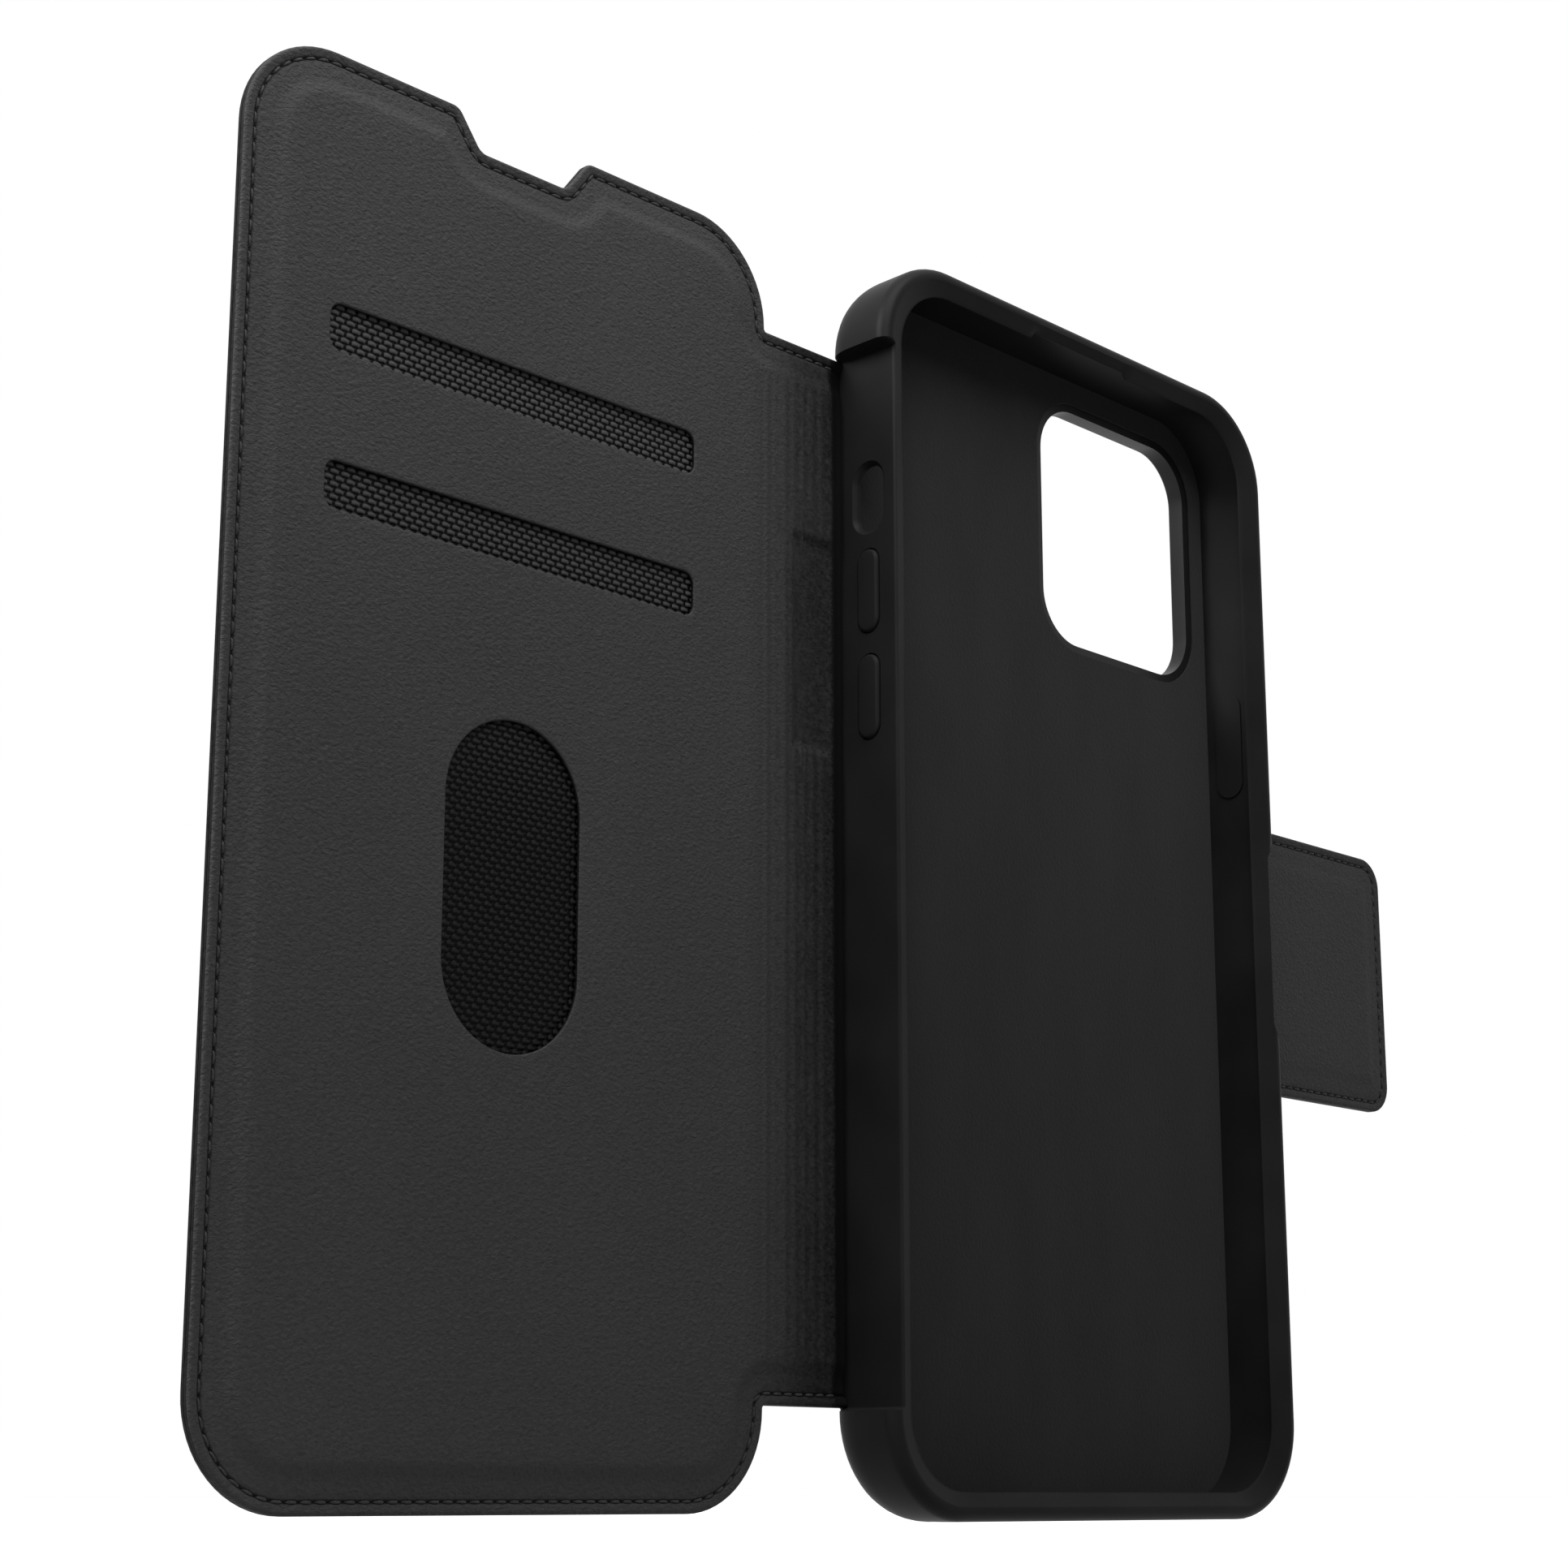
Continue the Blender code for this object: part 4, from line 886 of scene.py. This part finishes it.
def spine_shape(x, z):
    """Ribs along the spine, the hollow over the keys, and the valley where the leather dips at the wall."""
    on_spine = smooth((x - COVER_FOLD + RIB_FADE) / RIB_FADE) * smooth(VALLEY_START - x)
    clear_of_ends = smooth((SPINE_Z - RAMP_END + RIB_MARGIN - np.abs(z)) / RIB_FADE)
    ribs = RIB_HEIGHT * np.cos(2 * math.pi * (x - SPINE_MIDDLE) / RIB_PITCH) * on_spine * clear_of_ends
    inside_x = np.minimum(x - HOLLOW_X[0], HOLLOW_X[1] - x)
    inside_z = np.minimum(z - HOLLOW_Z[0], HOLLOW_Z[1] - z)
    sunk = smooth(np.minimum(inside_x, inside_z) / HOLLOW_EDGE)
    return ribs * (1 - sunk) - HOLLOW_DEPTH * sunk - valley(x)


def valley(x):
    return VALLEY_DEPTH * smooth((x - VALLEY_START) / (VALLEY_END - VALLEY_START))


def from_cover_to_tray(side, kind, cover_nodes, spine_nodes):
    """The names, carriers and nodes of one layer's pieces, from the cover across the spine."""
    return [(f"cover_{side}_{kind}", "cover", cover_nodes),
            (f"spine_{side}_{kind}_at_cover", SPINE_TO_COVER, spine_nodes),
            (f"spine_{side}_{kind}_at_tray", SHELL_TO_SPINE, spine_nodes)]


def dress_cover_and_spine():
    """Two skins, inside and outside, each from the cover's free edge across the spine to the tray."""
    folds = (COVER_FOLD, SPINE_FOLD)
    rows = np.arange(-SPINE_REACH, SPINE_REACH + SPINE_ROWS / 2, SPINE_ROWS)
    rows = np.concatenate([rows, HOLLOW_Z[0] + HOLLOW_ROWS, HOLLOW_Z[1] - HOLLOW_ROWS])
    columns = np.arange(COVER_FOLD + INNER_RAMP[0], WALL_END, RIB_COLUMNS)
    inner_spine = lattice(columns, np.unique(np.round(rows, 3)))
    spots = with_folds(np.concatenate([cover_spots(), inner_spine]), folds, SPINE_Z)
    path, cuts = cover_path(WALL_END)
    inner_rise = ramp_at(COVER_FOLD, INNER_RAMP, COVER_RISE, SPINE_RISE)

    def stitch_valley(x, z):
        return -STITCH_SINK - SEAM_DISH - valley(x)

    points, painted_shading, *faces = leather_skin(path, cuts, -1, inner_rise, spine_shape, spots, cover_windows())
    points[:, 1] = np.minimum(points[:, 1], INNER_LIMIT)
    # Painted shade in the valley where the leather dips at the wall, on top of the grooves' painted shade
    painted_shading = np.maximum(painted_shading, VALLEY_PAINTED_SHADE * valley(points[:, 0]) / VALLEY_DEPTH)
    pieces = from_cover_to_tray("inner", "leather", ["cover_liner"], ["spine_liner"])
    skin_pieces(points, painted_shading, *faces, pieces, HINGE_FINISH)
    zone_ends = [COVER_FOLD - COVER_SEAM_END, SPINE_MIDDLE, SPINE_FOLD + FOLD_SEAM_END]
    spine_threads = ["spine_thread_top", "spine_thread_bottom"]
    pieces = from_cover_to_tray("inner", "stitches", ["cover_thread"], spine_threads)
    stitches(path, -1, zone_ends, stitch_valley, pieces)

    path, cuts = cover_path(SPINE_SEAM)
    rows = np.arange(-SPINE_REACH, SPINE_REACH + FILL_SPACING / 2, FILL_SPACING)
    outer_spine = lattice(np.arange(COVER_FOLD - OUTER_FILL_START, SPINE_SEAM, OUTER_COLUMNS), rows)
    spots = with_folds(np.concatenate([cover_spots(), outer_spine]), folds, SPINE_Z)
    outer_rise = ramp_at(COVER_FOLD, OUTER_RAMP, COVER_BULGE, 0.0)
    pieces = from_cover_to_tray("outer", "leather", ["cover_leather"], ["spine_leather"])
    skin_pieces(*leather_skin(path, cuts, 1, outer_rise, flat_lift, spots), pieces)
    stitches(path, 1, zone_ends, stitch_lift, from_cover_to_tray("outer", "stitches", [], []))


# A zone that no piece shows
NO_PIECE = (None, None, None)


def dress_latch():
    """Two skins, inside and outside: a strap that runs on into the tab, with a low raised field inside."""
    spots = lattice(np.arange(STRAP_END, TAB_FREE, LATCH_COLUMNS), np.arange(-STRAP_Z, STRAP_Z, FILL_SPACING))
    spots = with_folds(spots, (STRAP_FOLD, TAB_FOLD), STRAP_Z)
    inner_rise = ramp_at(STRAP_FOLD, STRAP_RAMP, 0.0, TAB_RISE)
    threads = ["strap_thread_top", "strap_thread_bottom"]
    layers = ((-1, STRAP_END, "inner", "liner", inner_rise),
              (1, STRAP_SEAM, "outer", "leather", np.zeros_like))
    for facing, end, side, layer, rise in layers:
        strap, tab = f"strap_{layer}", f"tab_{layer}"
        path, cuts = latch_path(end)
        skin_pieces(*leather_skin(path, cuts, facing, rise, flat_lift, spots), [
            NO_PIECE,
            (f"strap_{side}_leather", SHELL_TO_STRAP, [strap]),
            (f"tab_{side}_leather", STRAP_TO_TAB, [strap, tab]),
        ])
        stitches(path, facing, [STRAP_FOLD - FOLD_SEAM_END, STRAP_MIDDLE], stitch_lift, [
            NO_PIECE,
            (f"strap_{side}_stitches", SHELL_TO_STRAP, threads),
            (f"tab_{side}_stitches", STRAP_TO_TAB, [*threads, "tab_thread"]),
        ])


def camera_path(gap=0.0):
    half_x, half_z = CAMERA_WIDTH / 2 + gap, CAMERA_HEIGHT / 2 + gap
    return Track(box_corners(half_x, half_z, CAMERA_X, CAMERA_Z), CAMERA_CORNER + gap)


def dress_back():
    """The outer leather over the tray's back, up to the spine and the strap, with the camera's window."""
    back_x, back_z = SHELL_X - BACK_BORDER, SHELL_Z - BACK_BORDER
    left, right = SPINE_SEAM - BACK_RUN_ON, STRAP_SEAM + BACK_RUN_ON
    upper = [(right, STRAP_Z), (STRAP_SEAM, STRAP_Z), (back_x, STRAP_Z), (back_x, back_z), (-back_x, back_z),
             (-back_x, SPINE_Z), (SPINE_SEAM, SPINE_Z), (left, SPINE_Z)]
    radii = [RUN_ON_CORNER, 0, STRAP_ROOT, BACK_CORNER, BACK_CORNER, CREASE_CORNER, 0, RUN_ON_CORNER]
    path = Track(upper + [(x, -z) for x, z in reversed(upper)], radii + radii[::-1])
    cuts = [(6, 9), (1, 14)]
    spots = lattice(np.arange(-back_x, back_x, FILL_SPACING), np.arange(-back_z, back_z, FILL_SPACING))
    skin = leather_skin(path, cuts, 1, np.zeros_like, flat_lift, spots, [camera_path(CAMERA_GAP)], sewn=False)
    skin_pieces(*skin, [NO_PIECE, ("back_outer_leather", "shell", ["back_leather"])])


def frame_section():
    """The tray wall's section as insets and heights: from its back edge round the outside to the ridge.

    The bumpers' rows are a long quarter round behind and a short one in front. The recess has the same rows
    pressed in to a flat wall and a smaller round that stops where it meets the lip's slope.
    """
    behind = np.radians(np.linspace(90, 0, 8))
    ahead = np.radians(np.linspace(0, 90, 9))
    flat = FRONT_ROUND + RIDGE_FLAT
    inset = np.concatenate([BACK_ROUND * (1 - np.cos(behind)), FRONT_ROUND * (1 - np.cos(ahead)), [flat]])
    y = np.concatenate([SHELL_BACK - BACK_FADE * (1 - np.sin(behind)),
                        SHELL_FRONT + FRONT_FADE * (1 - np.sin(ahead)), [SHELL_FRONT]])
    meet = np.radians(np.linspace(0, RECESS_MEET, len(ahead) + 1))
    recess_inset = np.concatenate([np.full(len(behind), RECESS_DEPTH),
                                   RECESS_DEPTH + RECESS_ROUND * (1 - np.cos(meet))])
    recess_y = np.concatenate([y[:len(behind)], SHELL_FRONT + RECESS_ROUND * (1 - np.sin(meet))])
    return inset, y, recess_inset, recess_y


def with_marks(half_x, half_z):
    """The tray's corners with marks at the ends of its reliefs, counter-clockwise from the lower right."""
    rise = LATCH_Z + LATCH_SLOPE
    ear = EAR_X + EAR_SLOPE
    steps = RECESS_Z - RECESS_STEP * np.array(RECESS_MARKS)
    right = [(half_x, z) for z in (-rise, -LATCH_Z, LATCH_Z, rise)]
    top = [(x, half_z) for x in (ear, EAR_X, -EAR_X, -ear)]
    left = [(-half_x, z) for z in (*steps, *(-steps[::-1]))]
    return [(half_x, -half_z), *right, (half_x, half_z), *top, (-half_x, half_z), *left, (-half_x, -half_z)]


# Keys as node, body and the way each faces along X
KEYS = (("volume_up_button", "volume_up", -1), ("volume_down_button", "volume_down", -1),
        ("side_button", "side_key", 1))


def key_path(node):
    """The outline of a key on the wall, as long as its node."""
    low, high = node_box(node)
    return stadium(KEY_WIDTH, high[2] - low[2], KEY_Y, (low[2] + high[2]) / 2)


def cut_openings(wall_piece):
    """Cuts the mute opening, the keys' holes and the lower edge's openings out of the tray wall."""
    wall_x = -SHELL_X + RECESS_DEPTH
    mute = stadium(MUTE_WIDTH, MUTE_HEIGHT, KEY_Y, MUTE_Z)
    chamfer = np.array(MUTE_OUTSET) * MUTE_CHAMFER
    places = [-POCKET_X + CUT_REACH, *(wall_x + MUTE_CHAMFER * np.array(MUTE_SUNK)), wall_x - MUTE_PROUD,
              -SHELL_X - CUT_REACH]
    cut_out(wall_piece, stand(mute.rings(-chamfer), places, 0))
    for node, _, _ in KEYS:
        low, high = node_box(node)
        hole = key_path(node).ring(-KEY_GAP)
        cut_out(wall_piece, stand([hole, hole], (low[0] - CUT_REACH, high[0] + CUT_REACH), 0))
    for width, depth, place in ((PORT_WIDTH, PORT_DEPTH, 0.0), (SPEAKER_WIDTH, SPEAKER_DEPTH, -SPEAKER_X),
                                (SPEAKER_WIDTH, SPEAKER_DEPTH, SPEAKER_X)):
        hole = stadium(width, depth, place, KEY_Y).ring()
        cut_out(wall_piece, stand([hole, hole], (-SHELL_Z - CUT_REACH, -POCKET_Z + CUT_REACH), 2))


def dress_frame():
    """The moulded tray wall: its section goes round the pocket, pressed in at spine, latch and earpiece."""
    outer_corners = with_marks(SHELL_X, SHELL_Z)
    inner_corners = with_marks(POCKET_X, POCKET_Z)
    round_at = {(SHELL_X, -SHELL_Z), (SHELL_X, SHELL_Z), (-SHELL_X, SHELL_Z), (-SHELL_X, -SHELL_Z)}
    rounded = np.array([corner in round_at for corner in outer_corners])
    outer = Track(outer_corners, rounded * SHELL_CORNER)
    inner = Track(inner_corners, rounded * POCKET_CORNER, counts=outer.counts)

    inset, y, recess_inset, recess_y = frame_section()
    rings = outer.rings(inset)
    x, z = outer.ring(0.0).T
    on_left = (x < -SHELL_X + HAIR) * smooth((RECESS_Z - np.abs(z)) / RECESS_STEP)
    on_right = np.clip((LATCH_Z + LATCH_SLOPE - np.abs(z)) / LATCH_SLOPE, 0.0, 1.0)
    on_top = (z > SHELL_Z - HAIR) * smooth((EAR_X + EAR_SLOPE - np.abs(x)) / EAR_SLOPE)
    rings[..., 0] += on_left * (recess_inset - inset)[:, None]
    rings[..., 0] = np.minimum(rings[..., 0], SHELL_X - on_right * LATCH_DEPTH)
    heights = y[:, None] + on_left * (recess_y - y)[:, None]

    lip = inner.ring(LIP_OVERLAP)
    lip[:, 1] += on_top * EAR_DEPTH
    share = np.array(LIP_ROWS)[:, None, None]
    slope = rings[-1] + (lip - rings[-1]) * share
    slope_y = heights[-1] + (LIP_BACK - LIP_EDGE - heights[-1]) * share[..., 0]
    wall = inner.ring(0.0)
    under = (lip + wall) / 2
    tail = np.stack([lip, lip, under, wall, wall, wall, wall])
    tail_y = np.array([LIP_BACK - LIP_EDGE * LIP_TURN, LIP_BACK, LIP_BACK, LIP_BACK,
                       (LIP_BACK + LINING_FRONT) / 2, LINING_FRONT, SHELL_BACK])
    flat = np.concatenate([rings, slope, tail])
    level = np.concatenate([heights, slope_y, np.repeat(tail_y[:, None], len(x), 1)])
    rings = np.stack([flat[..., 0], level, flat[..., 1]], -1)
    wall_piece = solid("tray_wall", rings, [ELASTOMER], loop=True)
    cut_openings(wall_piece)
    set_on(wall_piece, "shell", "elastomer", "bumper_frame")


def dress_keys():
    """Each key: a pill with a quarter round at its face, carried round a stadium and closed by a low crown.

    A thin pad at its root, inside the pocket, covers the gap round the key.
    """
    inset = np.concatenate([[-PAD_RIM, -PAD_RIM, 0.0], KEY_ROUND * (1 - np.cos(QUARTER)), CROWN_INSET])
    back = KEY_ROUND * (1 - np.sin(QUARTER)) + KEY_SHOULDER
    for node, body, facing in KEYS:
        low, high = node_box(node)
        face = high[0] if facing > 0 else low[0]
        pad = facing * (POCKET_X - PAD_GAP - np.array([PAD_THICK, 0.0, 0.0]))
        places = np.concatenate([pad, face - facing * back, face - facing * np.array(CROWN_DROP)])
        key = solid(node + "_cap", stand(key_path(node).rings(inset), places, 0), [ELASTOMER])
        set_on(key, body, "elastomer", node)


def dress_camera_ring():
    """The camera window's trim: a wall with two rounded shoulders, carried round the window."""
    low, high = node_box("camera_ring")
    up = CAMERA_ROUND * (1 - np.cos(QUARTER))
    drop = CAMERA_ROUND * (1 - np.sin(QUARTER))
    inset = np.concatenate([[0.0], up, CAMERA_RING - up[::-1], [CAMERA_RING]])
    y = np.concatenate([[low[1]], high[1] - drop, high[1] - drop[::-1], [low[1]]])
    rings = stand(camera_path().rings(inset), y, 1)
    set_on(solid("camera_trim", rings, [PLASTIC], loop=True), "shell", "plastic", "camera_ring")


def dress_tray_lining():
    """The tray's lining: a thin flat sheet inside the pocket whose camera window laps over the trim."""
    path = Track(box_corners(POCKET_X, POCKET_Z), POCKET_CORNER)
    loop = path.ring(-LINING_TUCK)
    hole = camera_path(-LINING_LAP).ring()
    xs, zs = (np.arange(-half, half, FILL_SPACING) for half in (POCKET_X, POCKET_Z))
    spots = lattice(xs, zs)
    clear = well_inside(spots, loop, [hole], LINING_CLEAR, LINING_CLEAR)
    flat, triangles = net(loop, [hole], spots[clear], [])
    points = np.stack([flat[:, 0], np.full(len(flat), LINING_FRONT), flat[:, 1]], 1)
    lining = new_piece("tray_microfibre", points, triangles.tolist(), [LINING])
    thicken(lining, LINING_BACK - LINING_FRONT)
    set_on(lining, "shell", "lining", "tray_lining")


def fine_and_coarse(low, high, fine_spans):
    """Lines from low to high, a fraction of a thread apart inside each span and far apart elsewhere."""
    fine = THREAD_PITCH / THREAD_SAMPLES
    lines = np.arange(low, high, WEAVE_COARSE)
    for start, stop in fine_spans:
        lines = lines[(lines < start - fine) | (lines > stop + fine)]
    spans = [np.arange(start, stop, fine) for start, stop in fine_spans]
    return np.unique(np.round(np.concatenate([lines, [high], *spans]), 5))


def plain_weave(x, z):
    """The height of a plain weave, from 0 in its gaps to 1 on its floats, and the painted light on it: a
    painted highlight along each weft float, and painted shade on the warp floats and in the gaps.

    Warp and weft each swing over and under as a power of a cosine of the place along the thread, a half turn
    apart from thread to thread, less the square of the place across it. The higher of the two shows. A
    painted light falloff makes the threads paler towards the slots and darker towards the thumb window.
    """
    u, v = (x - COVER_X) / THREAD_PITCH, z / THREAD_PITCH
    warp, weft = np.round(u), np.round(v)
    over, under = np.cos(math.pi * (v - warp)), -np.cos(math.pi * (u - weft))
    warp_height = np.sign(over) * np.abs(over) ** THREAD_BROAD - THREAD_ROUND * (u - warp) ** 2
    weft_height = WEFT_LEAD + np.sign(under) * np.abs(under) ** THREAD_BROAD - THREAD_ROUND * (v - weft) ** 2
    lowest, highest = -THREAD_ROUND / 4, 1 + WEFT_LEAD
    height = (np.maximum(warp_height, weft_height) - lowest) / (highest - lowest)
    # Painted highlight along the middle of each weft float; warp floats and gaps get painted shade
    line = 1 - np.abs(2 * (v - weft)) ** 2
    # Painted light falloff: paler towards the slots, darker towards the thumb window
    painted_falloff = ramp_between(z, PAINTED_FALLOFF_LOW, PAINTED_FALLOFF_HIGH, PAINTED_FALLOFF_LEAST, 1.0)
    return height, painted_falloff * np.where(weft_height > warp_height, line, WARP_SHADE * height)


def woven_sheet(name, xs, zs, shown, front_at):
    """A closed sheet: a front grid raised by the weave where it is shown, and a plain back and edges."""
    x, z = np.meshgrid(xs, zs)
    seen = np.zeros_like(z, bool)
    for start, stop in shown:
        seen |= (z >= start) & (z <= stop)
    height, painted_light_values = plain_weave(x, z)
    height = np.where(seen, height, 1.0)
    front = np.stack([x, front_at(z) + THREAD_RELIEF * (1 - height), z], -1)
    back = front[:, [0, -1]].copy()
    back[..., 1] = front_at(zs)[:, None] + FABRIC_THICK
    rows, columns = x.shape
    start = rows * columns
    row = np.arange(rows - 1)
    left, right = row * columns, row * columns + columns - 1
    back_left, back_right = start + 2 * row, start + 2 * row + 1
    walls = [np.stack([back_right, back_left, back_left + 2, back_right + 2], 1),
             np.stack([back_left, left, left + columns, back_left + 2], 1),
             np.stack([right, back_right, back_right + 2, right + columns], 1)]
    faces = np.concatenate([grid_faces(rows, columns, close_columns=False).reshape(-1, 4), *walls]).tolist()
    top = start - columns
    faces += [[start, start + 1, *range(columns - 1, -1, -1)],
              [*range(top, start), start + 2 * rows - 1, start + 2 * rows - 2]]
    sheet = new_piece(name, np.concatenate([front.reshape(-1, 3), back.reshape(-1, 3)]), faces, [FABRIC])
    # The points carry the weave's painted light and shade; the back and edges take the full value
    painted_light = sheet.data.attributes.new("painted_light", "FLOAT", "POINT")
    painted_light.data.foreach_set("value", np.concatenate([painted_light_values.ravel(), np.ones(2 * rows)]))
    return sheet


def dress_pocket_fabric():
    """The two pocket sheets. Each lies up against the leather where a window shows it."""
    def span(middle, size):
        return middle - size / 2 - WEAVE_MARGIN, middle + size / 2 + WEAVE_MARGIN

    slots = [span(z, SLOT_HEIGHT) for z in SLOT_Z]
    thumb = [span(THUMB_Z, THUMB_HEIGHT)]
    across_slot, across_thumb = [span(COVER_X, SLOT_WIDTH)], [span(COVER_X, THUMB_WIDTH)]
    low, high = node_box("pocket_lining")
    behind = low[1]

    def lining_front(z):
        start, end = slots[0][0] - np.array(LINING_DIP)
        return ramp_between(z, start, end, behind, FABRIC_FRONT)

    def divider_front(z):
        return np.full_like(z, FABRIC_FRONT)

    lining = woven_sheet("pocket_lining_weave", fine_and_coarse(low[0], high[0], across_slot),
                         fine_and_coarse(low[2], high[2], slots[:1]), slots[:1], lining_front)
    set_on(lining, "cover", "pocket_fabric", "pocket_lining")

    low, high = node_box("card_divider")
    middle = (thumb[0][1] + slots[1][0]) / 2
    lower = woven_sheet("card_divider_weave", fine_and_coarse(low[0], high[0], across_thumb),
                        fine_and_coarse(low[2], middle, thumb), thumb, divider_front)
    upper = woven_sheet("card_divider_weave_at_slot", fine_and_coarse(low[0], high[0], across_slot),
                        fine_and_coarse(middle, high[2], slots[1:]), slots[1:], divider_front)
    for sheet in (lower, upper):
        set_on(sheet, "cover", "pocket_fabric", "card_divider")


def dress_inner_parts():
    """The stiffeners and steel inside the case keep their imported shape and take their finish."""
    finishes = {"cover_board": BOARD, "tab_board": BOARD, "spine_stiffener": BOARD, "keeper_plate": STEEL,
                "tab_magnet": STEEL, "back_plate": PLASTIC}
    for name, material in finishes.items():
        for slot in frame["nodes"][name].material_slots:
            slot.material = material


def set_stage():
    """A pale floor, a white surround and two soft lamps: above in front, and above on the left, behind."""
    edge = np.linspace(-FLOOR_REACH, FLOOR_REACH, 3)
    x, y = np.meshgrid(edge, edge)
    points = np.stack([x, y, np.full_like(x, -SHELL_Z)], -1).reshape(-1, 3)
    faces = grid_faces(3, 3, close_columns=False).reshape(-1, 4).tolist()
    new_piece("floor", points, faces, [pale_floor()])

    world = bpy.data.worlds.new("white_surround")
    bpy.context.scene.world = world
    world.use_nodes = True
    tree = world.node_tree
    tree.nodes.clear()
    ambient = add_node(tree, "Background", {"Color": colour("#ffffff"), "Strength": AMBIENT})
    white = add_node(tree, "Background", {"Color": colour("#ffffff"), "Strength": 1.0})
    mixed = add_node(tree, "MixShader", {0: background_rays(tree), 1: ambient.outputs["Background"],
                                         2: white.outputs["Background"]})
    add_node(tree, "OutputWorld", {"Surface": mixed.outputs["Shader"]})

    for name, place, size, power in LAMPS:
        light = bpy.data.lights.new(name, "AREA")
        light.size = size
        light.energy = power
        lamp = bpy.data.objects.new(name, light)
        lamp.location = place
        lamp.rotation_euler = Vector(place).to_track_quat("Z", "Y").to_euler()
        bpy.context.scene.collection.objects.link(lamp)


def set_camera():
    camera = bpy.data.cameras.new("photo_view")
    camera.lens = VIEW_LENS
    camera.sensor_width = VIEW_SENSOR
    camera.shift_y = VIEW_SHIFT
    camera.clip_start = VIEW_NEAREST
    view = bpy.data.objects.new("photo_view", camera)
    view.location = VIEW_PLACE
    view.rotation_euler = [math.radians(turn) for turn in VIEW_TURN]
    bpy.context.scene.collection.objects.link(view)
    bpy.context.scene.camera = view
    bpy.context.scene.view_settings.view_transform = "Standard"


dress_cover_and_spine()
dress_latch()
dress_back()
dress_frame()
dress_keys()
dress_camera_ring()
dress_tray_lining()
dress_pocket_fabric()
dress_inner_parts()
set_stage()
set_camera()

bpy.context.view_layer.update()
